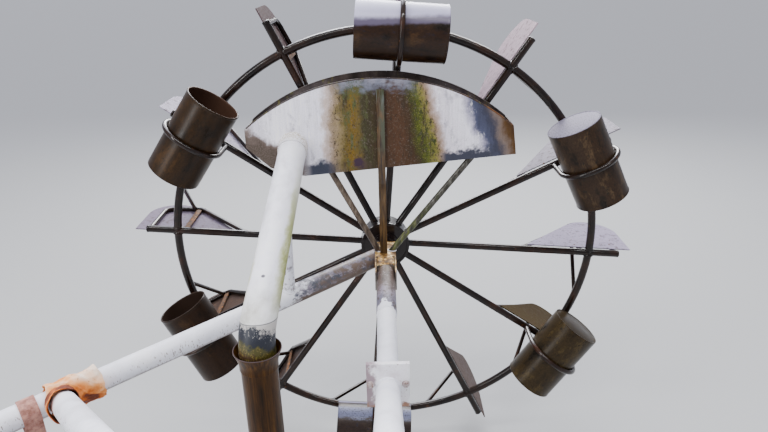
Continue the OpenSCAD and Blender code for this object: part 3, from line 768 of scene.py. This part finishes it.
def bucket_coat(f, n):
    """Measures the finish in the frame of bucket n: each axis' product with the point, less the
    origin's. Then lays the sheet's brown streaks and a lighter brown inside, painted light that
    stands in for the light falling into the bucket, and gives back its specks."""
    place = bucket_frame(n)
    rows = []
    for axis in np.linalg.inv(place[:3, :3]):
        row = f.add("VectorMath", f.point, tuple(axis.tolist()), operation="DOT_PRODUCT")["Value"]
        rows.append(f.plus(row, -float(axis @ place[:3, 3])))
    f.x, f.y, f.z = rows
    f.point = f.add("CombineXYZ", *rows)[0]
    dark, middle, light, edge = TINTS[n]
    streak = f.grain(22, (1, 1, 6), 5, 0.6, n)
    patch = f.grain(80, (1, 1, 1.6), 6, 0.66, n + 5.0)
    speck = f.grain(6, (1, 1, 1.5), 4, 0.6, n + 1.0)
    mix = f.plus(f.both(streak, 0.25), patch, 0.75)
    f.paint(mix, {0.38: dark, 0.47: middle, 0.53: middle, 0.61: light})
    f.over(f.step(f.grain(16, (1, 1, 1.6), 6, 0.7, 9.0), 0.56, 0.66), edge)
    f.shade(speck, 0.7, 1.3)
    f.rough = f.spread(patch, 0.25, 0.5)
    # painted light: the inside wall is a lighter brown than the outside, for the light that reaches in
    inside = f.both(f.step(f.length(f.x, f.y), 0.1160, 0.1150), f.step(f.z, 0.004, 0.006))
    f.over(inside, "#33261f" if n == 5 else "#4d372b", 0.5)
    f.raised(f.grain(5, (1, 1, 2), 4), 0.25)
    f.raised(patch, 0.6)
    return speck


# %% Six bucket finishes
for n in TINTS:
    f = Finish("wet brown bucket sheet %d" % n)
    height = f.z
    speck = bucket_coat(f, n)
    coat = 0.6 if n in (1, 4) else 0.3
    if n == 1:  # the top one mirrors the sky: pale bands above a level line
        # painted reflection of the sky: three pale bands over the top of the bucket
        line = f.plus(height, f.grain(24, (1, 1, 1), 3, 0.5, 2.0), 0.012)
        f.over(f.step(line, 0.655, 0.668), "#5a5266", 0.3)
        f.over(f.step(line, 0.678, 0.700), "#b7b4cf", 0.35)
        f.over(f.step(line, 0.70, 0.76), "#dcdcf2", 0.4)
    if n == 2:  # its closed end, which faces the sky, is pale lavender grey in specks
        end = f.step(f.z, 0.004, 0.001)
        f.over(f.both(end, f.step(speck, 0.2, 0.6)), "#8a8698", 0.7)
        coat = f.both(f.plus(1.0, end, -1), 0.4)
    if n == 4:  # the lowest one: a ragged pale band along its top, a painted reflection of the sky
        top = f.plus(f.both(f.grain(26, (1, 1, 2), 6, 0.7), 0.05), f.x, -1)
        painted_sky_reflection = f.both(f.step(top, 0.114, 0.126), f.step(f.y, 0.0, 0.012), f.step(speck, 0.30, 0.52))
        f.over(painted_sky_reflection, "#62667f", 0.4)
        # painted reflection: a thin lavender line at the band's edge
        line = f.both(f.step(top, 0.118, 0.119), f.between(f.y, -0.055, -0.05, -0.035, -0.03))
        f.over(line, "#7a7790", 0.4)
    wet = dict(WATER_FILM, Coat_Weight=coat, Coat_Roughness=0.32)
    f.done(("bucket_shell_%d" % n,), **wet)

# %% [markdown]
# ## Paddles and ribs
# The twelve paddles share one mesh, but those that have just been dipped are browner than
# the others, whose dull lavender grey is partly dried silt and partly a painted reflection of
# the sky. The angle round the hub tells them apart, read from the point itself. Their ribs
# carry dry orange rust, which is quite matt.

# %% Silted paddle sheet
f = Finish("paddle silt with painted sky sheen")
angle = f.add("Math", f.x, f.above_hub(), operation="ARCTAN2")[0]
turns = f.add("Math", angle, 2 * math.pi, operation="DIVIDE")[0]  # clockwise from the top
speck = f.grain(6, detail=6, rough=0.7)
silt = f.grain(26, detail=6, rough=0.7)
# colour by angle: brown silt on the dipped paddles, and a lavender grey on the others that is partly dried
# silt and partly painted sky reflection
f.paint(f.add("Math", f.plus(turns, 1.0), operation="FRACT")[0], {
    0.0: "#33292a", 0.05: "#4d3b3c", 0.075: "#a8929d", 0.12: "#b5a0aa", 0.15: "#857f88",
    0.21: "#8f8a97", 0.235: "#9890a5", 0.29: "#958ca0", 0.315: "#43371f", 0.36: "#3b2f18",
    0.40: "#5a4a46", 0.5: "#3a2b22", 0.6: "#35261f", 0.70: "#4d3e36", 0.76: "#746a7a",
    0.80: "#7b7283", 0.835: "#aaa3b6", 0.87: "#a39caa", 0.89: "#5c494d", 0.95: "#4a393a"})
f.over(f.both(f.step(silt, 0.52, 0.66), f.step(speck, 0.35, 0.6)), "#4a3c34")
f.over(f.step(f.grain(14, detail=3, offset=4.0), 0.64, 0.72), "#5d3c22")
f.shade(speck, 0.74, 1.22)
f.rough = f.spread(silt, 0.4, 0.6)
f.raised(speck, 0.6)
f.done(("paddles",), Specular_IOR_Level=0.06)

# %% Rusty ribs
f = Finish("orange rib rust")
rust = f.grain(18, detail=6, rough=0.65)
f.paint(rust, {0.32: "#2b1c11", 0.46: "#4b3018", 0.58: "#6a4520", 0.68: "#9a5c26"})
f.raised(rust, 0.6)
f.rough = 0.75
f.done(("paddle_ribs",))

# %% [markdown]
# ## The trough's front wall
# Ten years of overflow have drawn this wall in upright zones: limescale to the left, ochre and
# moss in the middle, limescale again and a dark wet patch to the right. A colour band along the
# wall gives the zones, the place is shifted by noise so that the borders wander, and on the
# right it leans with height because the water there runs down at a slant.

# %% Upright zones
f = Finish("trough sheet with limescale and moss")
up = f.above_hub()
lean = f.plus(f.both(f.step(f.x, 0.02, 0.2), 0.26), f.step(f.x, 0.24, 0.38), 0.12)
along = f.wavy(f.x, f.grain(60, (1, 1, 1.2), 6, 0.68), 0.10)
along = f.plus(along, f.both(lean, f.plus(up, -0.66)))
f.paint(f.add("MapRange", along, -0.6, 0.6)[0], {
    0.0: "#7d6f6a", 0.029: "#9d918e", 0.046: "#d8d4e0", 0.125: "#f9f7ff", 0.283: "#f4f1fd",
    0.300: "#cdbcb6", 0.321: "#9d8873", 0.346: "#857450", 0.3625: "#5f5226", 0.392: "#705719",
    0.417: "#625226", 0.4375: "#3b3822", 0.471: "#372d19", 0.508: "#3d2919", 0.558: "#4b3220",
    0.5875: "#3c2b19", 0.608: "#3b3a15", 0.629: "#4c5314", 0.654: "#80783a", 0.667: "#8b7358",
    0.685: "#b49f96", 0.704: "#e4dde8", 0.783: "#f4f1fc", 0.808: "#aeaabf", 0.826: "#4a4e66",
    0.867: "#3a3b49", 0.892: "#75665e", 0.917: "#543a1d", 0.95: "#3e2610", 0.983: "#2b1a0a"})
print("zones of the trough's front,", len(f.tree.nodes), "nodes")

# %% [markdown]
# Inside the zones lie streaks, green and dark mottles, and the grain of the limescale. Each is a
# noise of its own size and stretch, cut off softly and held inside its zone by a mask.

# %% Mottles inside the zones
streak = f.grain(9, (1, 1, 16), 6, 0.65)
coarse = f.grain(34, (1, 1, 6), 5, 0.6, 2.0)
speck = f.grain(5, detail=5, rough=0.7)
right_chalk = f.between(along, 0.225, 0.245, 0.385, 0.405)
chalk = f.add("Math", f.step(along, -0.235, -0.255), right_chalk, operation="MAXIMUM")[0]
f.shade(streak, 0.84, 1.14)
middle = f.step(f.add("Math", along, operation="ABSOLUTE")[0], 0.24, 0.2)
f.over(f.both(f.step(coarse, 0.55, 0.68), middle), "#362a1d")
green = f.between(along, -0.19, -0.15, -0.08, -0.02)
f.over(f.both(f.step(f.grain(20, (1, 1, 3), 6, 0.7, 6.0), 0.52, 0.62), green), "#4c5230")
moss = f.between(along, 0.10, 0.135, 0.19, 0.215)
f.over(f.both(f.step(speck, 0.56, 0.66), moss), "#94923c")
f.over(f.both(f.step(f.grain(16, (1, 1, 2), 6, 0.7, 8.0), 0.52, 0.60), moss), "#363b18")
wide = f.between(along, -0.235, -0.20, 0.20, 0.22)
f.over(f.both(wide, f.step(f.grain(7, detail=6, rough=0.75, offset=11.0), 0.54, 0.68)), "#675c57")
f.over(f.both(wide, f.step(f.grain(9, (1, 1, 1.5), 6, 0.75, 12.0), 0.54, 0.64)), "#33281e")
drip = f.both(f.step(speck, 0.60, 0.68), f.step(along, -0.17, -0.215), f.step(up, 0.60, 0.76))
f.over(drip, "#d8d2da")  # pale drips beside the left limescale
f.over(f.both(chalk, f.step(f.grain(40, (1, 1, 1.6), 6, 0.7), 0.52, 0.74)), "#a8a3b1")
f.over(f.both(chalk, f.step(f.grain(26, (1, 1, 2.4), 6, 0.7, 5.0), 0.54, 0.66)), "#f8f6fb")
print("with mottles,", len(f.tree.nodes), "nodes")

# %% [markdown]
# The wall's edges have marks of their own: a pale band under the middle of the curved edge,
# a painted reflection of the sky on the wet sheet, with a little moss; dark damp along the
# bottom and in the lower left corner, and one dark stain.
# The edge is an arc, so the band is read from the distance to the arc's centre.

# %% Marks along the edges
arc_x, arc_z = 0.02, 0.04  # metres from the hub to the arc's centre, to the left and down
rise = f.length(f.plus(f.x, arc_x), f.plus(up, arc_z))
edge = f.wavy(rise, f.grain(45, (1, 1, 0.5), 5), 0.10)
middle = f.between(f.x, -0.23, -0.13, 0.07, 0.17)
# painted reflection of the sky: a pale blue-grey band on the wet sheet under the curved edge
f.over(f.both(f.step(edge, 0.80, 0.845), middle, f.step(f.grain(26, offset=1.0), 0.3, 0.55)), "#6c6f7e")
f.over(f.both(f.step(edge, 0.835, 0.868), middle), "#8a8997")
moss = f.both(f.between(edge, 0.78, 0.81, 0.845, 0.87), f.between(f.x, -0.18, -0.13, -0.10, -0.06))
f.over(f.both(moss, f.step(speck, 0.42, 0.60)), "#41502a")
above_floor = f.plus(up, f.plus(0.4456, f.x, 0.0849), -1)  # the floor rises to the right
low = f.plus(above_floor, f.grain(50, detail=6, rough=0.68, offset=3.0), -0.14)
damp = f.both(f.step(low, -0.02, -0.05), f.between(f.x, -0.30, -0.2, 0.0, 0.10))
f.over(f.both(damp, f.step(coarse, 0.35, 0.6)), "#4b3d33")
f.over(f.both(f.step(low, 0.0, -0.04), f.between(f.x, -0.36, -0.30, -0.24, -0.17)), "#3c404e")
f.over(f.both(f.step(low, -0.015, -0.045), f.between(f.x, 0.235, 0.27, 0.45, 0.50)), "#3a3c49")
corner = f.plus(up, f.plus(f.x, 0.34), 0.42)
corner = f.plus(corner, f.grain(60, detail=6, rough=0.65, offset=7.0), -0.14)
left = f.step(f.x, -0.30, -0.36)
f.over(f.both(f.step(corner, 0.475, 0.43), left), "#6b5d56")
f.over(f.both(f.step(corner, 0.45, 0.40), left, f.step(speck, 0.35, 0.6)), "#41392f")
stain = f.plus(f.distance((-0.104, 1.725, 0.09)), f.grain(12, (2, 1, 1)), 0.045)
f.over(f.step(stain, 0.052, 0.036), "#3d2b3a")
print("with edges,", len(f.tree.nodes), "nodes")

# %% Gloss and relief of the front wall
f.rough = f.add("Mix", f.between(along, 0.40, 0.43, 0.47, 0.50), links={2: 0.55, 3: 0.25})[0]
f.shade(speck, 0.84, 1.16)
f.raised(f.both(chalk, f.grain(7, detail=5, rough=0.7)), 0.9)
f.raised(speck, 0.35)
f.done(("trough_front",), Specular_IOR_Level=0.25)

# %% [markdown]
# ## Inside of the trough
# The same sheet stays wet here and lies in shade, so it is painted dark, partly as wet sheet
# and partly as painted shade, with patches of olive and grey, and a thin coat gives it a dull
# shine. Only the right end of the front hem is dry, and shows its rust.

# %% Trough inside, floor and hems
f = Finish("wet trough sheet, partly painted shade")
patch = f.grain(70, (1, 1, 2), 6, 0.65)
# dark tones: wet sheet, and partly painted shade inside the trough
f.paint(patch, {0.3: "#1e1918", 0.45: "#332b29", 0.58: "#453c39", 0.72: "#5d524c"})
f.over(f.step(f.grain(22, (1, 1, 4), 5, 0.6, 4.0), 0.58, 0.68), "#5f5a30")
f.over(f.step(f.grain(13, detail=5, offset=8.0), 0.64, 0.72), "#8b8088")
f.rough = f.spread(patch, 0.3, 0.6)
f.raised(f.grain(6, detail=5, rough=0.7), 0.5)
dry = f.both(f.step(f.x, 0.30, 0.40), f.step(patch, 0.42, 0.55), f.step(f.y, 1.75, 1.735))
f.over(dry, "#6d4628", 0.7)
wet = {"Specular_IOR_Level": 0.2, "Coat_Weight": 0.25, "Coat_Roughness": 0.2}
f.done(("trough_back", "trough_floor", "trough_hems"), **wet)

# %% [markdown]
# ## White tubes
# The beams are steel tube, brushed with white paint. Their undersides are painted grey, partly
# rain grime and partly painted shade; rust spots lie where the paint is chipped, and a grey and
# brown mottle near the wheel, where they are always splashed. The eye sees a half-gloss white
# that turns dull and dark towards the hub.

# %% White tube paint
f = Finish("white tube paint, rain marks and painted shade")
cloud = f.grain(150, detail=6, rough=0.6)
mottle = f.grain(34, (1.6, 1.6, 1), 6, 0.68, 2.0)
chip = f.grain(13, (1, 1, 2), 4)
f.paint(cloud, {0.35: "#e2e2ea", 0.5: "#f3f4fd", 0.65: "#fafaff"})
facing_up = f.facing_up()
under = f.wavy(facing_up, mottle, 0.9)
# painted shade and rain grime: grey over the tubes' undersides
f.over(f.step(under, -0.3, -0.75), "#8d8588")
print("white paint, rain marks and painted shade,", len(f.tree.nodes), "nodes")

# %% Splashes, chips and nicks on the tubes
brace = f.both(f.step(f.x, -0.03, -0.045), f.step(f.z, -0.25, -0.27))
reach = f.wavy(f.distance((-0.046, 1.764, -0.379)), mottle, 0.5)  # from the bracket along the brace
splash = f.both(brace, f.step(reach, 0.47, 0.38))
f.over(splash, "#817a88")
f.over(f.both(splash, f.step(f.grain(40, (1.5, 1.5, 1), 6, 0.7, 6.0), 0.48, 0.56)), "#4c515c")
f.over(f.both(splash, f.step(f.grain(30, (1.5, 1.5, 1), 6, 0.7, 9.0), 0.55, 0.62)), "#a09ba3")
brown = f.both(f.step(reach, 0.40, 0.22), f.step(f.grain(26, (1.4, 1.4, 1), 6, 0.7, 15.0), 0.40, 0.54))
f.over(f.both(brace, brown), "#6b5a50")
# splash brown on the brace's underside near the bracket, darkened further as painted shade
f.over(f.both(brace, f.step(reach, 0.56, 0.4), f.step(under, 0.0, -0.3)), "#5a4638")
f.over(f.both(f.step(chip, 0.63, 0.68), f.step(cloud, 0.44, 0.56), f.step(facing_up, 0.7, 0.2)), "#7b5f52")
nick = f.both(f.step(f.grain(9, (0.6, 0.6, 2.4), 4, 0.6, 21.0), 0.585, 0.64), f.step(f.x, -0.33, -0.40))
nick = f.both(nick, f.step(facing_up, 0.75, 0.35), f.step(f.grain(60, detail=3, offset=5.0), 0.38, 0.50))
f.over(nick, "#735b55")
f.shade(f.grain(12, (1, 6, 1), 4), 0.97, 1.02)
f.rough = f.spread(cloud, 0.35, 0.5)
f.raised(chip, 0.12)
f.done(("near_beam", "far_beam", "side_brace", "brace_flange", "stay_pipe", "pipe_prop", "frame_welds"))

# %% [markdown]
# ## Joint plates and their bolts
# The cut plates hold less paint at their edges, so rust comes through at the bottom; their left
# side is darkened with painted shade. The bolts are zinc under the same paint, and brown water
# has run over them.

# %% Plates and bolts
f = Finish("white plate paint, rusty below, painted shade at the left")
cloud = f.grain(40, detail=6, rough=0.65)
f.paint(cloud, {0.35: "#dfd8dc", 0.5: "#f1eef3", 0.65: "#fbfafd"})
# painted shade: the plates' left side darker mauve
f.over(f.step(f.wavy(f.x, cloud, 0.10), -0.036, -0.056), "#9c8a91", 0.7)
f.over(f.step(f.wavy(f.z, f.grain(22, offset=3.0), 0.09), -0.452, -0.476), "#96705c", 0.8)
f.over(f.both(f.step(f.grain(9, detail=4), 0.62, 0.68), f.step(cloud, 0.45, 0.6)), "#8d6450", 0.8)
f.raised(cloud, 0.3)
f.done(("joint_plates",))

f = Finish("bolt zinc under rust-stained paint", "#b5a7a6")
f.over(f.step(f.grain(8, detail=5), 0.48, 0.6), "#7b5e52", 0.7)
f.done(("joint_bolts",))

# %% [markdown]
# ## Sleeve and bracket
# The sleeve sits under the wheel's splash: grey at its near end and brown towards the bracket,
# with a painted highlight in white along the top of its near end. The bracket holds ochre silt
# wherever it is level.

# %% Splashed sleeve
f = Finish("splashed grey-brown sleeve")
cloud = f.grain(46, (1, 1.8, 1), 6, 0.68)
away = f.wavy(f.y, cloud, 0.30)
f.paint(f.add("MapRange", away, 1.24, 1.64)[0], {
    0.0: "#79748a", 0.25: "#696678", 0.4: "#857b88", 0.52: "#5f504a", 0.8: "#55443a", 1.0: "#6f5a42"})
f.over(f.step(f.grain(20, (1, 1.6, 1), 6, 0.7, 3.0), 0.50, 0.60), "#44372f")
f.over(f.step(f.grain(26, (1, 1.4, 1), 6, 0.7, 13.0), 0.54, 0.66), "#8b8086")
tip = f.plus(away, f.add("Math", f.x, operation="ABSOLUTE")[0], 1.3)
# painted highlight: white along the top of the sleeve's near end
f.over(f.both(f.step(tip, 1.318, 1.302), f.step(f.z, -0.37, -0.355)), "#e9e9f2")
f.over(f.step(f.grain(9, detail=5, offset=7.0), 0.64, 0.70), "#c9c5cb")
f.raised(cloud, 0.6)
f.rough = 0.5
f.done(("beam_sleeve",))

# %% Bracket and its silt
f = Finish("bracket under ochre silt")
cloud = f.grain(30, detail=6, rough=0.68)
f.paint(cloud, {0.34: "#3b2811", 0.45: "#6c4c1d", 0.54: "#b0843b", 0.62: "#fbe4ad"})
f.over(f.step(f.facing_up(), 0.5, 0.2), "#6d665f", 0.6)
f.over(f.step(f.grain(7, detail=4, offset=2.0), 0.58, 0.66), "#3f3127", 0.7)
f.raised(cloud, 1.0)
f.done(("head_bracket", "bracket_silt"))

# %% [markdown]
# ## Post and struts
# Run-off streams down these, so their grain is drawn out along the height. The post is brown
# with a dull green top. The left strut still shows its grey paint, the right one is dark with
# moss, and both are wet enough to shine.

# %% Trough post
f = Finish("post with brown run-off and moss")
run = f.grain(8, (1, 1, 12), 6, 0.62)
f.paint(run, {0.32: "#22170d", 0.46: "#3f2d16", 0.58: "#573f20", 0.7: "#715630"})
height = f.above_hub()
f.over(f.both(f.step(height, 0.48, 0.56), f.step(f.grain(30, (1, 1, 3)), 0.4, 0.6)), "#404431")
f.over(f.both(f.step(height, 0.66, 0.76), f.step(run, 0.5, 0.65)), "#585d57")
f.raised(run, 0.4)
f.rough = 0.5
f.done(("trough_post",), Specular_IOR_Level=0.2, Coat_Weight=0.3)

# %% Left and right strut
f = Finish("strut paint under moss")
run = f.grain(14, (1, 1, 4), 6, 0.65)
f.paint(run, {0.32: "#33281f", 0.46: "#54463a", 0.6: "#6f6152", 0.72: "#948a80"})
right = f.step(f.x, -0.01, 0.01)
wet_paint = {0.32: "#1e1b17", 0.46: "#38342d", 0.6: "#55524a", 0.72: "#8b8a88"}
f.over(right, f.add("ValToRGB", run, stops=wet_paint)[0])
moss = f.both(f.step(f.z, 0.02, -0.22), f.step(f.grain(22, (1, 1, 3), 6, 0.7, 3.0), 0.44, 0.60))
f.over(f.both(right, moss), "#394020", 0.6)
f.over(f.both(right, f.step(f.z, -0.10, -0.25), f.step(run, 0.45, 0.65)), "#5d612c", 0.6)
f.raised(run, 0.2)
wet = {"Specular_IOR_Level": 0.2, "Coat_Weight": 0.8, "Coat_Roughness": 0.1, "Coat_IOR": 1.33}
f.done(("struts",), **wet)

# %% [markdown]
# ## Drain pipe
# The slanting pipe is moulded pale plastic, matt from the weather. Algae grow along its shaded
# right side. At the elbow the pale crust ends in a ragged blue-black band, then moss, then the
# brown of the standpipe.

# %% Outlet pipe
f = Finish("pale drain plastic with algae, crust and moss")
cloud = f.grain(60, (1, 2.5, 1), 6, 0.62)
speck = f.grain(6, detail=5, rough=0.7)
f.paint(cloud, {0.32: "#e0dfe6", 0.5: "#f5f5fd", 0.66: "#fcfcff"})
axis = f.plus(f.both(f.plus(f.y, -1.725), 0.02486), -0.378)  # x of the pipe's axis
algae = f.wavy(f.plus(f.x, axis, -1), f.grain(50, (1, 3, 1), 6, 0.68, 4.0), 0.04)
f.over(f.both(f.step(algae, 0.036, 0.052), f.step(f.y, 1.66, 1.2)), "#c3c694")
f.over(f.both(f.step(algae, 0.048, 0.057), f.step(f.y, 1.50, 1.0)), "#959b50")
f.over(f.both(f.step(algae, -0.040, -0.056), f.step(f.y, 1.25, 0.95)), "#b6b88c")
f.over(f.both(f.step(f.y, 1.66, 1.70), f.step(speck, 0.4, 0.6)), "#b5a690")
greyer = f.add("ValToRGB", cloud, stops={0.35: "#b3b0a6", 0.5: "#d2d1cd", 0.65: "#e8e8e8"})[0]
f.over(f.step(f.y, 1.0, 0.80), greyer)
print("pale pipe with algae,", len(f.tree.nodes), "nodes")

# %% Crust and moss on the elbow
seam = f.plus(f.plus(f.above_hub(), -0.255), f.plus(f.y, -0.783), 0.25)  # a slanting plane
band = f.wavy(seam, f.grain(24, detail=6, rough=0.78), 0.12)
band = f.plus(band, f.plus(f.x, 0.401), 0.33)
elbow = f.step(f.y, 0.96, 0.90)
below = f.both(f.step(seam, 0.0, -0.002), elbow)
crust = {0.0: "#3a2616", 0.20: "#3f2b15", 0.34: "#474212", 0.48: "#343310", 0.54: "#141824",
         0.86: "#1a1f2b", 0.95: "#b4b0ac"}
f.over(below, f.add("ValToRGB", f.add("MapRange", band, -0.13, 0.0)[0], stops=crust)[0])
flakes = f.both(f.step(f.grain(8, detail=6, rough=0.7), 0.57, 0.66), f.step(band, -0.045, -0.03))
f.over(f.both(below, flakes), "#a3a09e")
f.over(f.both(below, f.step(speck, 0.52, 0.62), f.step(band, -0.062, -0.07)), "#7a6a30")
from_joint = f.add("Math", f.plus(seam, -0.001), operation="ABSOLUTE")[0]
f.over(f.both(f.step(from_joint, 0.0022, 0.001), elbow), "#6f6f70")
f.over(f.step(f.distance((-0.395, 0.961, -0.048)), 0.008, 0.005), "#55515a")  # one small dark spot
f.raised(speck, 0.12)
f.raised(f.both(below, f.grain(9, detail=6, rough=0.7)), 0.7)
f.rough = 0.5
f.done(("outlet_pipe", "outlet_collar", "pipe_rings", "outlet_elbow"))

# %% [markdown]
# ## Standpipe
# Brown plastic under years of run-off, streaked along its height, with a thin film of water that
# gives one soft line of light. The funnel's rim has a greyer tone, a painted highlight along its lip.

# %% Standpipe and funnel
f = Finish("standpipe brown with run-off")
run = f.grain(11, (1, 1, 18), 6, 0.62)
cloud = f.grain(60, (1, 1, 3), 5, 0.6, 3.0)
mix = f.plus(f.both(run, 0.6), cloud, 0.4)
f.paint(mix, {0.36: "#1b1004", 0.46: "#311d08", 0.54: "#42290b", 0.64: "#5c3b10"})
# painted highlight: a greyer tone along the funnel's lip
f.over(f.step(f.z, -0.2165, -0.2145), "#4f4242")
f.rough = f.spread(cloud, 0.28, 0.5)
f.raised(run, 0.3)
wet = {"Specular_IOR_Level": 0.1, "Coat_Weight": 0.22, "Coat_Roughness": 0.12, "Coat_IOR": 1.33}
f.done(("standpipe", "funnel_shell"), **wet)

# %% [markdown]
# ## Plate, strap and lashing
# The base plate is grey paint gone dull, with rust streaks. The strap is rusted through, so it is
# quite matt. The lashing's torn sheet is orange rust: its colour follows how far each fold stands
# off, so the hollows are deep orange rust darkened by painted shade, and the crests are paler
# rust with a painted highlight.

# %% Base plate
f = Finish("grey plate paint, weathered")
cloud = f.grain(90, detail=6, rough=0.62)
f.paint(cloud, {0.32: "#666764", 0.48: "#878a88", 0.62: "#9da09e"})
f.over(f.both(f.step(f.grain(16, (1, 1, 3), 5), 0.60, 0.68), f.step(cloud, 0.4, 0.6)), "#7a4f30", 0.85)
f.raised(f.grain(5, detail=3), 0.25)
f.done(("bank_plate",))

# %% Strap and its bolt
f = Finish("strap rust")
rust = f.grain(22, detail=6, rough=0.68)
f.paint(rust, {0.30: "#6d483a", 0.44: "#9a6a5e", 0.56: "#b28478", 0.68: "#cd967f", 0.78: "#e0a06a"})
f.raised(rust, 0.8)
f.rough = 0.85
f.done(("hanging_strap", "strap_bolt"))

# %% Lashing sheet
f = Finish("torn orange rust sheet")
rust = f.grain(40, detail=6, rough=0.6)
fine = f.grain(9, detail=5, offset=2.0)
# fold height colours the sheet: rust and painted shade in the hollows, paler rust and a painted highlight on
# the crests
crest = f.wavy(f.add("Attribute", attribute_name="fold")["Fac"], rust, 0.7)
f.paint(crest, {0.20: "#6b2a04", 0.33: "#d36a12", 0.47: "#ee9a4e", 0.64: "#f5c296", 0.92: "#fde6d2"})
f.over(f.step(fine, 0.62, 0.72), "#b06a3c")
f.raised(fine, 0.6)
f.rough = 0.75
f.done(("lashing_wrap",))

# %% [markdown]
# ## Studio
# A pale plain floor under the standpipe's foot, a soft sky all round and a wide lamp without
# fall-off from high in front for the trough and pipes. A far softbox and two long narrow ones
# give the wet tubes their pale lines: a round tube mirrors a narrow lamp as a thin line.

# %% Floor
FLOOR_HALF, FLOOR_GAP = 90.0, 0.002  # metres: half its side, and its gap under the lowest point
side = np.linspace(-FLOOR_HALF, FLOOR_HALF, 9)
x, y = np.meshgrid(side, side)
points = np.stack([x, y, np.full_like(x, model_box[0][2] - FLOOR_GAP)], -1).reshape(-1, 3)
mesh = bpy.data.meshes.new("studio_floor")
mesh.from_pydata(points.tolist(), [], grid_faces(9, 9, False, False)[:, ::-1].tolist())
floor = bpy.data.objects.new("studio_floor", mesh)
bpy.context.scene.collection.objects.link(floor)
f = Finish("pale studio floor", "#a9aaaa")
f.rough = 0.9
floor.data.materials.append(f.done())

# %% Sky and lamps
world = bpy.data.worlds.new("soft studio")
bpy.context.scene.world = world
world.use_nodes = True
background = world.node_tree.nodes["Background"].inputs
background["Color"].default_value = linear("#e2e3ee")
background["Strength"].default_value = 0.7

sky = bpy.data.lights.new("soft_sky", "SUN")
sky.angle, sky.energy, sky.color = math.radians(50), 3.3, linear("#f0f2ff")[:3]
lamps = [(sky, (0.0, 0.0, 6.0), (-40, -10, 0))]
for name, long, wide, power, place, turn in (
    ("far_softbox", 6.0, 2.0, 700.0, (0.6, 7.5, 3.4), (-62, 0, -5)),
    ("top_strip", 8.0, 0.5, 520.0, (0.0, -0.6, 5.4), (-24, 0, 0)),
    ("left_strip", 0.5, 5.0, 240.0, (-5.0, -2.0, 2.2), (76, 0, -52)),
):
    light = bpy.data.lights.new(name, "AREA")
    light.shape, light.size, light.size_y, light.energy = "RECTANGLE", long, wide, power
    lamps.append((light, place, turn))
for light, place, turn in lamps:
    lamp = bpy.data.objects.new(light.name, light)
    lamp.location, lamp.rotation_euler = place, [math.radians(v) for v in turn]
    bpy.context.scene.collection.objects.link(lamp)
print("lamps", [light.name for light, _, _ in lamps])
